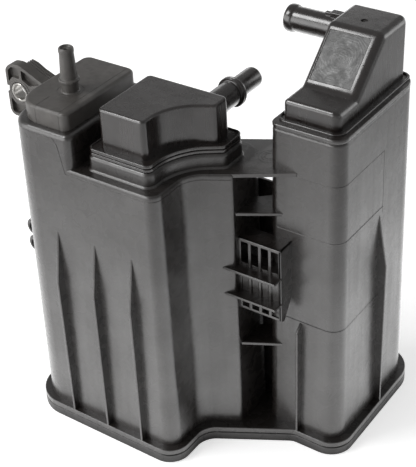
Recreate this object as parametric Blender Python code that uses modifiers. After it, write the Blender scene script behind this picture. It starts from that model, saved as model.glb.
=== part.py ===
"""Charcoal canister: a two-chamber nylon housing with a welded bottom cover, a port lid and a vent hood.

Sizes are in millimetres. X runs along the front of the left chamber, Y to the back and Z up; the canister
stands on its bottom cover. The plan's zero is on the front edge of the flange, at the first front rib.
"""

import math

import bmesh
import bpy
from mathutils import Matrix, Vector

MM = 0.001
GAP = 0.3

# Bottom cover and flange
COVER_RIM_H = 5.5
COVER_RIM_W = 6.6
COVER_PLATE_Z = 1.5
COVER_PLATE_T = 2.0
TONGUE_T = 1.6
TONGUE_TOP = 12.0
TONGUE_FIT = 0.5
FLANGE_T = 3.6
FLANGE_LIP = 4.4
FLANGE_DIAGONAL_LIP = 6.0
UNDER_RIB_T = 1.6
UNDER_RIB_PITCH = 24.0
UNDER_RIB_ROOT = 0.4

# Walls of the housing
WALL = 2.5
DRAFT = 0.0122
ARC_STEPS = 6
DIAGONAL_DEG = 29.7

# Left chamber, at the flange
LEFT_X0 = -30.0
LEFT_X1 = 71.0
LEFT_GAP_X = 91.3
LEFT_Y0 = 4.4
LEFT_Y1 = 81.6
LEFT_HOLLOW_Y = 33.7
LEFT_END_R = 17.2
LEFT_FRONT_R = 8.5
LEFT_HOLLOW_R = 12.0
LEFT_EDGE_R = 1.2
LEFT_BACK_R = 14.0
LEDGE_Z = 178.8
LEDGE_R = 3.0

# Raised block of the left chamber and the dome on it
BLOCK_X1 = 15.2
BLOCK_Y1 = 78.2
BLOCK_RISE = 19.7
BLOCK_R = 3.0
BLOCK_CORNER_R = 5.0
BLOCK_STEP = 0.1
DOME_X0 = -24.3
DOME_X1 = 10.8
DOME_Y0 = 11.0
DOME_Y1 = 72.0
DOME_RISE = 10.2
DOME_END_R = 14.5
DOME_CORNER_R = 3.8
DOME_BACK_R = 5.0
DOME_EDGE_R = 2.0

# Purge nipple on the dome
NIPPLE_X = -4.6
NIPPLE_Y = 34.3
NIPPLE_R = 4.15
NIPPLE_L = 25.3
NIPPLE_BORE_R = 3.0
NIPPLE_FOOT_R = 5.2
NIPPLE_FOOT_H = 1.4
NIPPLE_BEAD_R = 5.6
NIPPLE_BEAD_UP = 5.4
NIPPLE_BEAD_H = 2.2
NIPPLE_TAPER = 0.35
BEAD_CHAMFER = 0.6

# Raised pad of the left chamber and the port lid on it
PAD_X0 = 20.5
PAD_X1 = 61.9
PAD_GAP_X = 83.3
PAD_Y0 = 12.8
PAD_Y1 = 69.5
PAD_HOLLOW_Y = 36.5
PAD_DIAGONAL_DEG = 34.0
PAD_HOLLOW_R = 27.0
PAD_CORNER_R = 3.5
PAD_BACK_R = 5.5
PAD_RISE = 8.7
PAD_EDGE_R = 1.8
LID_LAYER_H = 1.7
LID_GROOVE_H = 0.3
LID_GROOVE_D = 0.7
LID_INSET = 0.5
LID_WALL = 2.2
LID_X0 = 26.0
LID_X1 = 56.3
LID_GAP_X = 77.6
LID_Y0 = 18.2
LID_Y1 = 63.5
LID_HOLLOW_Y = 39.8
LID_DIAGONAL_DEG = 28.5
LID_HOLLOW_R = 23.0
LID_CORNER_R = 3.2
LID_H = 26.1
LID_EDGE_R = 2.0
SPIGOT_X = 65.5
SPIGOT_DROP = 10.1
SPIGOT_BASE_R = 7.0
SPIGOT_COLLAR_R = 8.5
SPIGOT_COLLAR_Y = 82.4
SPIGOT_COLLAR_W = 3.2
SPIGOT_R = 5.85
SPIGOT_END_Y = 105.2
SPIGOT_BORE_R = 4.2

# Right chamber, at the flange
RIGHT_X0 = 100.4
RIGHT_X1 = 147.4
RIGHT_Y0 = 59.4
RIGHT_Y1 = 147.6
RIGHT_FRONT_LEFT_R = 7.0
RIGHT_FRONT_R = 9.5
RIGHT_BACK_R = 16.0
RIGHT_BACK_LEFT_R = 6.0
RIGHT_RISE = 25.0
RIGHT_EDGE_R = 1.6
VENT_RIM_W = 5.0
VENT_PORT_R = 2.5

# Vent hood on the right chamber
LIP_OVERHANG = 0.2
LIP_H = 2.4
HOOD_X0 = 107.0
HOOD_X1 = 139.3
HOOD_Y0 = 68.3
HOOD_Y1 = 140.6
HOOD_LOW_H = 11.0
HOOD_RISE = 24.5
HOOD_STEP_Y = 87.0
HOOD_CREST_Y = 113.7
HOOD_EDGE_R = 2.4
HOOD_FOOT_R = 3.0
HOOD_WALL = 2.2
HOOD_BEAD_OFFSET = 2.0
HOOD_BEAD_W = 1.2
HOOD_BEAD_H = 1.0
VENT_Y = 127.0
VENT_DROP = 10.0
VENT_R = 6.9
VENT_END_X = 74.9
VENT_BEAD_R = 7.7
VENT_BEAD_W = 5.6
VENT_BORE_R = 5.2
VENT_KEY_W = 2.2
VENT_KEY_L = 9.0
VENT_KEY_H = 1.3

# Ribs on the outside walls
FIN_T = 1.5
FIN_INSET = 0.4
FRONT_FIN_X = (0.0, 25.6, 50.7)
FRONT_FIN_KINK_Z = 104.0
FRONT_FIN_TIP_Z = 136.0
SHORT_FIN_X = 122.5
SHORT_FIN_KINK_Z = 81.0
SHORT_FIN_TIP_Z = 86.0
SIDE_FIN_Y = 104.5
SIDE_FIN_KINK_Z = 108.0
SIDE_FIN_TIP_Z = 140.5

# Webs between the chambers
WEB_T = 2.0
TOP_WEB_DROP = 0.3
TOP_WEB_TIP_X = 119.3
TOP_WEB_REAR_Y = 89.4
TOP_WEB_RISE = 0.09
MID_WEB_Z = 154.3
LOW_WEB_Z = 66.6
WEB_TIP_X = 111.0
BACK_PANEL_Y = 80.0
BACK_PANEL_TOP = 158.3

# Clip bracket in front of the gap
BRACKET_X0 = 89.5
BRACKET_X1 = 116.8
BRACKET_Y = 51.0
BRACKET_T = 1.6
BRACKET_Z0 = 91.5
BRACKET_Z1 = 138.3
BRACKET_POST_W = 1.9
BRACKET_CHIN = 1.5
BRACKET_HEEL = 12.0
WINDOW_COUNT = 4
WINDOW_ROWS = ((93.2, 99.6), (122.8, 136.3))
SHELF_Z = (104.0, 121.0)
SHELF_Y = 42.6
SHELF_X0 = 83.6

# Mounting arm and its metal bush; the arm's outlines are (x, z) from the middle of the bush
ARM_Y = 50.0
ARM_DEPTH = 6.0
ARM_STRUT_DEPTH = 12.0
ARM_ROOT = (31.5, -9.0, 4.5)
ARM_LEFT = -9.4
ARM_TOP = 17.4
ARM_BOTTOM = -16.5
ARM_LOWER_EDGE = ((ARM_LEFT, -14.0), (-6.9, ARM_BOTTOM), (4.0, ARM_BOTTOM), (13.0, -11.0))
ARM_UPPER_EDGE = ((17.0, 10.4), (6.0, 15.4), (1.0, ARM_TOP), (-5.4, 16.7), (ARM_LEFT, 12.9))
ARM_STRUT_EDGE = (
    (17.0, 10.4), (11.6, 12.4), (6.0, 15.4), (1.5, 16.4), (1.5, 11.5), (9.0, 6.5), (12.0, -8.0),
)
ARM_POCKETS = (
    ((-7.6, 5.0), (-5.0, 8.4), (0.6, 8.4), (0.6, 15.2), (-5.0, 14.7), (-7.6, 12.2)),
    ((2.6, 8.4), (8.0, 5.5), (16.0, 8.6), (5.6, 13.4), (2.6, 14.4)),
    ((-7.6, -13.3), (-6.2, -14.7), (2.5, -14.7), (5.0, -8.4), (-4.0, -8.4), (-7.6, -5.0)),
)
ARM_NOTCH = ((-10.4, -1.6), (-5.8, -1.6), (-5.8, 2.4), (-10.4, 2.4))
ARM_FLOOR = 2.0
BUSH_X = -58.2
BUSH_DROP = 12.5
BUSH_R = 5.75
BUSH_BORE_R = 4.5
BUSH_PROUD = 0.6
BOSS_WALL = 2.0

# Tube hooks on the left wall
HOOK_Z = (107.8, 119.3)
HOOK_Y = 20.0
HOOK_W = 3.0
HOOK_R = 5.6
HOOK_WIRE = 1.6
HOOK_REACH = 3.0

# Charcoal beds, felts, plates and springs
CORE_FIT = 0.5
LAYER_GAP = 0.3
LEFT_SPRING_SPREAD = (0.25, 0.2)
RIGHT_SPRING_SPREAD = 0.25
SPRING_H = 15.4
SPRING_R = 8.4
SPRING_WIRE_R = 0.8
SPRING_TURNS = 3.25
SPRING_POINTS = 10
SPRING_EASE = 0.6
SEAT_H = 3.0
SEAT_T = 1.4
SEAT_FIT = 0.5
SEAT_SIDES = 12
PLATE_T = 2.4
PLATE_SLOT_W = 3.0
PLATE_SLOT_L = 11.0
PLATE_SLOT_PITCH = 8.0
PLATE_EDGE = 4.5
FELT_T = 4.0
TANK_HEADROOM = 13.8
PURGE_HEADROOM = 14.5
VENT_HEADROOM = 16.8
DIVIDER_T = 2.0
DIVIDER_DIP = 26.0
BED_JOIN = 5.0
STANDOFF_T = 1.6
STANDOFF_PITCH = 22.0
STANDOFF_MARGIN = 3.5
FOAM_T = 8.0
FOAM_FIT = 0.6
CHANNEL_W = 13.0
CHANNEL_Y = 70.0
CHANNEL_ROOF_T = 2.0

# Sizes that follow from those above
FLANGE_Z0 = COVER_RIM_H + GAP
FLANGE_Z1 = FLANGE_Z0 + FLANGE_T
FLOOR_Z = COVER_PLATE_Z + COVER_PLATE_T
SLOPE = math.tan(math.radians(DIAGONAL_DEG))
BLOCK_Z = LEDGE_Z + BLOCK_RISE
DOME_Z = BLOCK_Z + DOME_RISE
NIPPLE_BEAD_Z = DOME_Z + NIPPLE_BEAD_UP
NIPPLE_TIP_Z = DOME_Z + NIPPLE_L
PAD_Z = LEDGE_Z + PAD_RISE
LID_Z = PAD_Z + LID_H
SPIGOT_Z = LID_Z - SPIGOT_DROP
RIGHT_Z = LEDGE_Z + RIGHT_RISE
LIP_Z0 = RIGHT_Z + GAP
LIP_Z1 = LIP_Z0 + LIP_H
HOOD_LOW_Z = LIP_Z1 + HOOD_LOW_H
HOOD_TOP_Z = HOOD_LOW_Z + HOOD_RISE
VENT_Z = HOOD_TOP_Z - VENT_DROP
TOP_WEB_Z = LEDGE_Z - TOP_WEB_DROP
BUSH_Z = BLOCK_Z - BUSH_DROP
TANK_BED_Z = LEDGE_Z - TANK_HEADROOM
PURGE_BED_Z = BLOCK_Z - PURGE_HEADROOM
VENT_BED_Z = RIGHT_Z - VENT_HEADROOM
LEDGE_IN = DRAFT * (LEDGE_Z - FLANGE_Z1)
DIVIDER_X = BLOCK_X1 - WALL
X_MIN, X_MAX = BUSH_X + ARM_LEFT, RIGHT_X1 + FLANGE_LIP
Y_MIN, Y_MAX = LEFT_Y0 - FLANGE_LIP, RIGHT_Y1 + FLANGE_LIP
ORIGIN = Vector(((X_MIN + X_MAX) / 2, (Y_MIN + Y_MAX) / 2, 0.0))

scene_parts = {}


def clear_scene():
    for obj in list(bpy.data.objects):
        bpy.data.objects.remove(obj, do_unlink=True)


def make_collection(name, hidden=False):
    group = bpy.data.collections.new(name)
    bpy.context.scene.collection.children.link(group)
    group.hide_render = hidden
    return group


def drafted(z):
    """How far the moulded walls have drawn in at height z."""
    return DRAFT * (z - FLANGE_Z1)


# Outlines


def outline(corners, inset=0.0):
    """Points of a closed plan given anticlockwise as (x, y, radius), moved inwards by inset."""
    points = []
    count = len(corners)
    for i, (x, y, radius) in enumerate(corners):
        here = Vector((x, y))
        before = here - Vector(corners[i - 1][:2])
        after = Vector(corners[(i + 1) % count][:2]) - here
        before.normalize()
        after.normalize()
        normal_before = Vector((-before.y, before.x))
        normal_after = Vector((-after.y, after.x))
        here += (normal_before + normal_after) * (inset / (1 + normal_before.dot(normal_after)))
        turn = math.atan2(before.x * after.y - before.y * after.x, before.dot(after))
        radius = max(radius - inset, 0.4) if turn > 0 else radius + inset
        reach = radius * math.tan(abs(turn) / 2)
        side = math.copysign(1, turn)
        centre = here - before * reach + normal_before * side * radius
        spoke = here - before * reach - centre
        for step in range(ARC_STEPS + 1):
            angle = turn * step / ARC_STEPS
            cos, sin = math.cos(angle), math.sin(angle)
            x = centre.x + spoke.x * cos - spoke.y * sin
            y = centre.y + spoke.x * sin + spoke.y * cos
            points.append((x, y))
    return points


def stepped_line(x0, x1, gap_x, y0, y1, hollow_y, degrees, radii):
    """Plan of a chamber whose front steps back along a diagonal, as the left one does."""
    gap_y = hollow_y + (gap_x - x1) * math.tan(math.radians(degrees))
    xy = ((x0, y0), (x1, y0), (x1, hollow_y), (gap_x, gap_y), (gap_x, y1), (x0, y1))
    return [(x, y, radius) for (x, y), radius in zip(xy, radii)]


def left_corners():
    radii = (LEFT_END_R, LEFT_FRONT_R, LEFT_HOLLOW_R, LEFT_EDGE_R, LEFT_BACK_R, LEFT_BACK_R)
    return stepped_line(
        LEFT_X0, LEFT_X1, LEFT_GAP_X, LEFT_Y0, LEFT_Y1, LEFT_HOLLOW_Y, DIAGONAL_DEG, radii
    )


def block_corners():
    return [
        (LEFT_X0, LEFT_Y0, LEFT_END_R),
        (BLOCK_X1 + LEDGE_IN, LEFT_Y0, BLOCK_CORNER_R),
        (BLOCK_X1 + LEDGE_IN, BLOCK_Y1, BLOCK_CORNER_R),
        (LEFT_X0, BLOCK_Y1, LEFT_BACK_R),
    ]


def dome_corners():
    return [
        (DOME_X0, DOME_Y0, DOME_END_R),
        (DOME_X1, DOME_Y0, DOME_CORNER_R),
        (DOME_X1, DOME_Y1, DOME_BACK_R),
        (DOME_X0, DOME_Y1, DOME_BACK_R),
    ]


def pad_corners():
    radii = (PAD_CORNER_R, PAD_CORNER_R, PAD_HOLLOW_R, PAD_CORNER_R, PAD_BACK_R, PAD_CORNER_R)
    return stepped_line(
        PAD_X0, PAD_X1, PAD_GAP_X, PAD_Y0, PAD_Y1, PAD_HOLLOW_Y, PAD_DIAGONAL_DEG, radii
    )


def lid_corners():
    radii = (LID_CORNER_R, LID_CORNER_R, LID_HOLLOW_R, LID_CORNER_R, LID_CORNER_R, LID_CORNER_R)
    return stepped_line(
        LID_X0, LID_X1, LID_GAP_X, LID_Y0, LID_Y1, LID_HOLLOW_Y, LID_DIAGONAL_DEG, radii
    )


def right_corners():
    return [
        (RIGHT_X0, RIGHT_Y0, RIGHT_FRONT_LEFT_R),
        (RIGHT_X1, RIGHT_Y0, RIGHT_FRONT_R),
        (RIGHT_X1, RIGHT_Y1, RIGHT_BACK_R),
        (RIGHT_X0, RIGHT_Y1, RIGHT_BACK_LEFT_R),
    ]


def flange_corners():
    """One outline round both chambers; its two diagonals run beside the web between them."""
    lip = FLANGE_LIP
    front_x = LEFT_X1 + lip
    diagonal_lip = FLANGE_DIAGONAL_LIP / math.cos(math.radians(DIAGONAL_DEG))
    hollow_y = LEFT_HOLLOW_Y + lip * SLOPE - diagonal_lip
    front_y = RIGHT_Y0 - lip
    rear_x = RIGHT_X0 - lip
    rear_y = LEFT_Y1 + lip
    rear_drop = (TOP_WEB_REAR_Y - rear_y) + diagonal_lip + (rear_x - LEFT_GAP_X + LEDGE_IN) * SLOPE
    return [
        (LEFT_X0 - lip, LEFT_Y0 - lip, LEFT_END_R + lip),
        (front_x, LEFT_Y0 - lip, LEFT_FRONT_R + lip),
        (front_x, hollow_y, LEFT_HOLLOW_R),
        (front_x + (front_y - hollow_y) / SLOPE, front_y, 2 * lip),
        (RIGHT_X1 + lip, front_y, RIGHT_FRONT_R + lip),
        (RIGHT_X1 + lip, RIGHT_Y1 + lip, RIGHT_BACK_R + lip),
        (rear_x, RIGHT_Y1 + lip, RIGHT_BACK_LEFT_R + lip),
        (rear_x, rear_y + rear_drop, lip),
        (rear_x - rear_drop / SLOPE, rear_y, 2 * lip),
        (LEFT_X0 - lip, rear_y, LEFT_BACK_R + lip),
    ]


# Solids


def add_object(name, bm, group):
    bmesh.ops.recalc_face_normals(bm, faces=bm.faces)
    mesh = bpy.data.meshes.new(name)
    bm.to_mesh(mesh)
    bm.free()
    obj = bpy.data.objects.new(name, mesh)
    obj.parent = scene_parts["root"]
    group.objects.link(obj)
    return obj


def helper(name, bm):
    obj = add_object(name, bm, scene_parts["helpers"])
    obj.hide_render = True
    obj.display_type = "WIRE"
    return obj


def loft_mesh(sections):
    """Solid through rings of equally many points, each given as (z, points)."""
    bm = bmesh.new()
    rings = [[bm.verts.new((x * MM, y * MM, z * MM)) for x, y in points] for z, points in sections]
    bm.faces.new(rings[0][::-1])
    bm.faces.new(rings[-1])
    for lower, upper in zip(rings, rings[1:]):
        for i in range(len(lower)):
            bm.faces.new((lower[i - 1], lower[i], upper[i], upper[i - 1]))
    return bm


def loft(name, sections):
    return helper(name, loft_mesh(sections))


def prism(name, points, z0, z1):
    return loft(name, [(z0, points), (z1, points)])


def side_prism(name, profile, x0, x1):
    """Profile of (y, z) points pulled from x0 to x1."""
    obj = prism(name, profile, x0, x1)
    obj.data.transform(Matrix(((0, 0, 1, 0), (1, 0, 0, 0), (0, 1, 0, 0), (0, 0, 0, 1))))
    return obj


def front_prism(name, profile, y0, y1):
    """Profile of (x, z) points pulled from y0 to y1."""
    obj = prism(name, profile, -y1, -y0)
    obj.data.transform(Matrix(((1, 0, 0, 0), (0, 0, -1, 0), (0, 1, 0, 0), (0, 0, 0, 1))))
    return obj


def box(name, x, y, z):
    """Block between the pairs x, y and z."""
    bm = bmesh.new()
    bmesh.ops.create_cube(bm, size=1.0)
    size = Matrix.Diagonal(((x[1] - x[0]) * MM, (y[1] - y[0]) * MM, (z[1] - z[0]) * MM, 1))
    centre = Vector((sum(x), sum(y), sum(z))) * MM / 2
    bmesh.ops.transform(bm, matrix=Matrix.Translation(centre) @ size, verts=bm.verts)
    return helper(name, bm)


def rod(name, centre, axis, radius, length, sides=24):
    """Round bar from centre along axis."""
    bm = bmesh.new()
    bmesh.ops.create_cone(
        bm, cap_ends=True, segments=sides, radius1=radius * MM, radius2=radius * MM, depth=length * MM
    )
    turn = Vector((0, 0, 1)).rotation_difference(Vector(axis)).to_matrix().to_4x4()
    lift = Matrix.Translation((0, 0, length * MM / 2))
    bmesh.ops.transform(bm, matrix=Matrix.Translation(Vector(centre) * MM) @ turn @ lift, verts=bm.verts)
    return helper(name, bm)


def ring(name, centre, axis, outer, inner, length, sides=24):
    """Round bar with a hole down its middle."""
    bm = bmesh.new()
    for radius in (outer, inner):
        bmesh.ops.create_circle(bm, segments=sides, radius=radius * MM)
    bmesh.ops.bridge_loops(bm, edges=bm.edges[:])
    face = bmesh.ops.extrude_face_region(bm, geom=bm.faces[:])
    moved = [item for item in face["geom"] if isinstance(item, bmesh.types.BMVert)]
    bmesh.ops.translate(bm, verts=moved, vec=(0, 0, length * MM))
    turn = Vector((0, 0, 1)).rotation_difference(Vector(axis)).to_matrix().to_4x4()
    bmesh.ops.transform(bm, matrix=Matrix.Translation(Vector(centre) * MM) @ turn, verts=bm.verts)
    return helper(name, bm)


def turned(name, profile, centre, axis, sides=24):
    """Profile of (radius, height), from the top of the axis down the outside, turned about the axis."""
    bm = bmesh.new()
    verts = [bm.verts.new((radius * MM, 0, height * MM)) for radius, height in profile]
    for one, two in zip(verts, verts[1:]):
        bm.edges.new((one, two))
    obj = helper(name, bm)
    screw = obj.modifiers.new("turn", "SCREW")
    screw.steps = sides
    screw.render_steps = sides
    screw.use_merge_vertices = True
    screw.merge_threshold = 0.00001
    obj.location = Vector(centre) * MM
    obj.rotation_euler = Vector((0, 0, 1)).rotation_difference(Vector(axis)).to_euler()
    return obj


def rounded_top(corners, inset, z, radius, steps=3):
    """Sections that round the rim of a flat top at height z."""
    sections = []
    for step in range(steps + 1):
        angle = math.pi / 2 * step / steps
        sections.append(
            (z - radius + radius * math.sin(angle), outline(corners, inset + radius * (1 - math.cos(angle))))
        )
    return sections


def finish(name, base, steps, material):
    """Joins and cuts base into the named piece; steps are pairs of a Boolean operation and its helpers."""
    piece = bpy.data.objects.new(name, base.data)
    piece.parent = scene_parts["root"]
    scene_parts["pieces"].objects.link(piece)
    bpy.data.objects.remove(base)
    piece.data.name = name
    for number, (operation, helpers) in enumerate(steps):
        group = bpy.data.collections.new(f"{name}_{number}_{operation.lower()}")
        scene_parts["helpers"].children.link(group)
        group.hide_render = True
        for obj in helpers:
            group.objects.link(obj)
            scene_parts["helpers"].objects.unlink(obj)
        boolean = piece.modifiers.new(f"{number} {operation.lower()}", "BOOLEAN")
        boolean.operation = operation
        boolean.operand_type = "COLLECTION"
        boolean.collection = group
        boolean.solver = "EXACT"
    piece.data.materials.append(material)
    return piece


# Materials


def make_material(name, colour, roughness, metallic=0.0):
    material = bpy.data.materials.new(name)
    material.use_nodes = True
    shader = material.node_tree.nodes["Principled BSDF"]
    shader.inputs["Base Color"].default_value = (*colour, 1.0)
    shader.inputs["Roughness"].default_value = roughness
    shader.inputs["Metallic"].default_value = metallic
    return material


# Housing


def chamber(name, corners, top, radius):
    sections = [(FLANGE_Z0 + 1, outline(corners, drafted(FLANGE_Z0 + 1)))]
    sections += rounded_top(corners, drafted(top), top, radius)
    return loft(name, sections)


def cavity(name, corners, z0, z1, extra=0.0):
    return loft(name, [(z, outline(corners, WALL + extra + drafted(z))) for z in (z0, z1)])


def fin(name, along, wall, outer, kink_z, tip_z, side=False):
    """Thin rib that stands straight on the flange, then slopes back into the drafted wall."""
    sign = 1 if side else -1
    foot_z = FLANGE_Z1 - 1
    root = WALL / 2
    profile = [
        (outer, foot_z),
        (wall - sign * root, foot_z),
        (wall - sign * (drafted(tip_z) + root), tip_z),
        (wall - sign * drafted(tip_z), tip_z),
        (outer, kink_z),
    ]
    pull = front_prism if side else side_prism
    return pull(name, profile, along - FIN_T / 2, along + FIN_T / 2)


def fins():
    made = [
        fin(
            f"front_fin_{number}", x, LEFT_Y0, LEFT_Y0 - FLANGE_LIP + FIN_INSET, FRONT_FIN_KINK_Z,
            FRONT_FIN_TIP_Z,
        )
        for number, x in enumerate(FRONT_FIN_X, 1)
    ]
    made.append(
        fin(
            "short_fin", SHORT_FIN_X, RIGHT_Y0, RIGHT_Y0 - FLANGE_LIP + FIN_INSET, SHORT_FIN_KINK_Z,
            SHORT_FIN_TIP_Z,
        )
    )
    made.append(
        fin(
            "side_fin", SIDE_FIN_Y, RIGHT_X1, RIGHT_X1 + FLANGE_LIP - FIN_INSET, SIDE_FIN_KINK_Z,
            SIDE_FIN_TIP_Z, side=True,
        )
    )
    return made


def nipple():
    base_z = DOME_Z - WALL / 2
    tip_r = NIPPLE_R - NIPPLE_TAPER
    bead_top = NIPPLE_BEAD_Z + NIPPLE_BEAD_H
    profile = [
        (0, NIPPLE_TIP_Z),
        (tip_r - NIPPLE_TAPER, NIPPLE_TIP_Z),
        (tip_r, NIPPLE_TIP_Z - 2 * NIPPLE_TAPER),
        (NIPPLE_R, bead_top),
        (NIPPLE_BEAD_R - BEAD_CHAMFER, bead_top),
        (NIPPLE_BEAD_R, bead_top - BEAD_CHAMFER),
        (NIPPLE_BEAD_R, NIPPLE_BEAD_Z + BEAD_CHAMFER),
        (NIPPLE_BEAD_R - BEAD_CHAMFER, NIPPLE_BEAD_Z),
        (NIPPLE_R, NIPPLE_BEAD_Z),
        (NIPPLE_R, DOME_Z + NIPPLE_FOOT_H),
        (NIPPLE_FOOT_R, DOME_Z + NIPPLE_FOOT_H / 2),
        (NIPPLE_FOOT_R, base_z),
        (0, base_z),
    ]
    return turned("nipple_outside", profile, (NIPPLE_X, NIPPLE_Y, 0), (0, 0, 1))


def webs():
    """Plates between the chambers: the wide top web, two thin ones, and the panel that closes the back."""
    left_x = LEFT_GAP_X - LEDGE_IN
    left_y = LEFT_HOLLOW_Y + (LEFT_GAP_X - LEFT_X1) * SLOPE + LEDGE_IN
    wall_y = RIGHT_Y0 + drafted(TOP_WEB_Z)
    inside_x = RIGHT_X0 + LEDGE_IN + WALL / 2
    root = 10.0
    top = [
        (left_x - root, left_y - root * SLOPE),
        (left_x, left_y),
        (TOP_WEB_TIP_X, wall_y - 0.3),
        (TOP_WEB_TIP_X, wall_y + WALL / 2),
        (inside_x, wall_y + WALL),
        (inside_x, TOP_WEB_REAR_Y + (inside_x - left_x) * SLOPE),
        (left_x - 2 * root, TOP_WEB_REAR_Y - 2 * root * SLOPE),
        (left_x - 2 * root, left_y + root),
    ]
    made = [prism("top_web", top, TOP_WEB_Z - WEB_T, TOP_WEB_Z)]
    rise = Matrix.Identity(4)
    rise[2][0] = TOP_WEB_RISE
    rise[2][3] = -TOP_WEB_RISE * left_x * MM
    made[0].data.transform(rise)
    for name, z in (("middle_web", MID_WEB_Z), ("low_web", LOW_WEB_Z)):
        front_y = RIGHT_Y0 + drafted(z)
        plan = [
            (left_x - WALL / 2, left_y),
            (left_x, left_y + 1),
            (WEB_TIP_X, front_y),
            (WEB_TIP_X, front_y + WALL / 2),
            (inside_x, front_y + WALL),
            (inside_x, BACK_PANEL_Y),
            (left_x - WALL / 2, BACK_PANEL_Y - LEFT_BACK_R),
        ]
        made.append(prism(name, plan, z - WEB_T, z))
    made.append(
        box(
            "back_panel",
            (left_x - LEFT_BACK_R, inside_x),
            (BACK_PANEL_Y - WEB_T / 2, BACK_PANEL_Y + WEB_T / 2),
            (FLANGE_Z1 - 1, BACK_PANEL_TOP),
        )
    )
    return made


def bracket():
    """Clip bracket: a windowed front plate on three shelves, closed at its right end."""
    front = BRACKET_Y - BRACKET_T
    root_y = RIGHT_Y0 + drafted(BRACKET_Z0) + WALL / 2
    joined = [
        box("bracket_plate", (BRACKET_X0, BRACKET_X1), (front, BRACKET_Y), (BRACKET_Z0, BRACKET_Z1)),
        box(
            "bracket_top", (BRACKET_X0, BRACKET_X1), (front, root_y), (BRACKET_Z1 - BRACKET_T, BRACKET_Z1)
        ),
    ]
    side = [
        (front, BRACKET_Z0),
        (BRACKET_Y + BRACKET_T, BRACKET_Z0 - BRACKET_CHIN),
        (root_y, BRACKET_Z0 + BRACKET_HEEL),
        (root_y, BRACKET_Z1),
        (front, BRACKET_Z1),
    ]
    joined.append(side_prism("bracket_side", side, BRACKET_X1 - BRACKET_T, BRACKET_X1))
    diagonal_y = LEFT_HOLLOW_Y + LEDGE_IN + (SHELF_X0 - LEFT_X1) * SLOPE
    left_wall_x = LEFT_GAP_X - LEDGE_IN - WALL / 2
    for number, z in enumerate(SHELF_Z, 1):
        shelf = [
            (SHELF_X0, SHELF_Y),
            (BRACKET_X1, SHELF_Y),
            (BRACKET_X1, root_y),
            (RIGHT_X0 + LEDGE_IN, root_y),
            (left_wall_x, root_y - LEFT_EDGE_R),
            (left_wall_x, diagonal_y + WALL),
            (SHELF_X0, diagonal_y + WALL / 2),
        ]
        joined.append(prism(f"shelf_{number}", shelf, z - BRACKET_T, z))
    pitch = (BRACKET_X1 - BRACKET_X0 - BRACKET_POST_W) / WINDOW_COUNT
    windows = []
    for low, high in WINDOW_ROWS:
        for column in range(WINDOW_COUNT):
            x = BRACKET_X0 + BRACKET_POST_W + column * pitch
            windows.append(
                box(
                    f"window_{column}_{low:.0f}",
                    (x, x + pitch - BRACKET_POST_W),
                    (front - 1, BRACKET_Y + 1),
                    (low, high),
                )
            )
    return joined, windows


def arm():
    """Mounting arm: a rimmed plate with pockets, a boss for the metal bush and a deeper strut to the wall."""
    back = ARM_Y + ARM_DEPTH
    boss_r = BUSH_R + GAP + BOSS_WALL
    root_x, root_low, root_high = ARM_ROOT
    root = ((root_x, root_low), (root_x, root_high))
    joined = [
        arm_prism("arm_plate", ARM_LOWER_EDGE + root + ARM_UPPER_EDGE, ARM_Y, back),
        arm_prism("arm_strut", root + ARM_STRUT_EDGE, back - 1, ARM_Y + ARM_STRUT_DEPTH),
        rod("arm_boss", (BUSH_X, ARM_Y - BUSH_PROUD / 2, BUSH_Z), (0, 1, 0), boss_r, ARM_DEPTH + BUSH_PROUD),
    ]
    cuts = [
        arm_prism(f"arm_pocket_{number}", pocket, ARM_Y - 1, back - ARM_FLOOR)
        for number, pocket in enumerate(ARM_POCKETS, 1)
    ]
    cuts.append(arm_prism("arm_notch", ARM_NOTCH, ARM_Y - 1, back + 1))
    cuts.append(
        rod("bush_seat", (BUSH_X, ARM_Y - 2, BUSH_Z), (0, 1, 0), BUSH_R + GAP, ARM_DEPTH + 4)
    )
    return joined, cuts


def arm_prism(name, points, y0, y1):
    return front_prism(name, [(BUSH_X + x, BUSH_Z + z) for x, z in points], y0, y1)


def hooks():
    """Two rings on the left wall that hold a hose or a lead."""
    made = []
    for number, z in enumerate(HOOK_Z, 1):
        x = LEFT_X0 + drafted(z) - HOOK_REACH
        made.append(ring(f"hook_{number}", (x, HOOK_Y, z), (0, 1, 0), HOOK_R, HOOK_R - HOOK_WIRE, HOOK_W))
    return made


def standoffs():
    """Ribs that hang from the roofs and hold the felts off them, and the wall that parts the two ports."""
    roof_z = LEDGE_Z - WALL
    made = [
        box(
            "divider",
            (DIVIDER_X, DIVIDER_X + DIVIDER_T),
            (LEFT_Y0 + LEDGE_IN + WALL / 2, LEFT_Y1 - LEDGE_IN - WALL / 2),
            (TANK_BED_Z - DIVIDER_DIP, roof_z + WALL / 2),
        )
    ]
    felt_tops = (
        ("tank", TANK_BED_Z, roof_z, BLOCK_X1, LEFT_X1, LEFT_Y0, LEFT_Y1),
        ("purge", PURGE_BED_Z, BLOCK_Z - WALL, LEFT_X0, BLOCK_X1, LEFT_Y0, LEFT_Y1),
        ("vent", VENT_BED_Z, RIGHT_Z - WALL, RIGHT_X0, RIGHT_X1, RIGHT_Y0, RIGHT_Y1),
    )
    for name, bed_z, top_z, x0, x1, y0, y1 in felt_tops:
        low = bed_z + FELT_T + 2 * LAYER_GAP
        for number, side in enumerate((-1, 1)):
            x = (x0 + x1 + side * STANDOFF_PITCH) / 2
            made.append(
                box(
                    f"{name}_standoff_{number}",
                    (x - STANDOFF_T / 2, x + STANDOFF_T / 2),
                    (y0 + LEDGE_IN + STANDOFF_MARGIN, y1 - LEDGE_IN - STANDOFF_MARGIN),
                    (low, top_z + WALL / 2),
                )
            )
    return made


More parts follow.
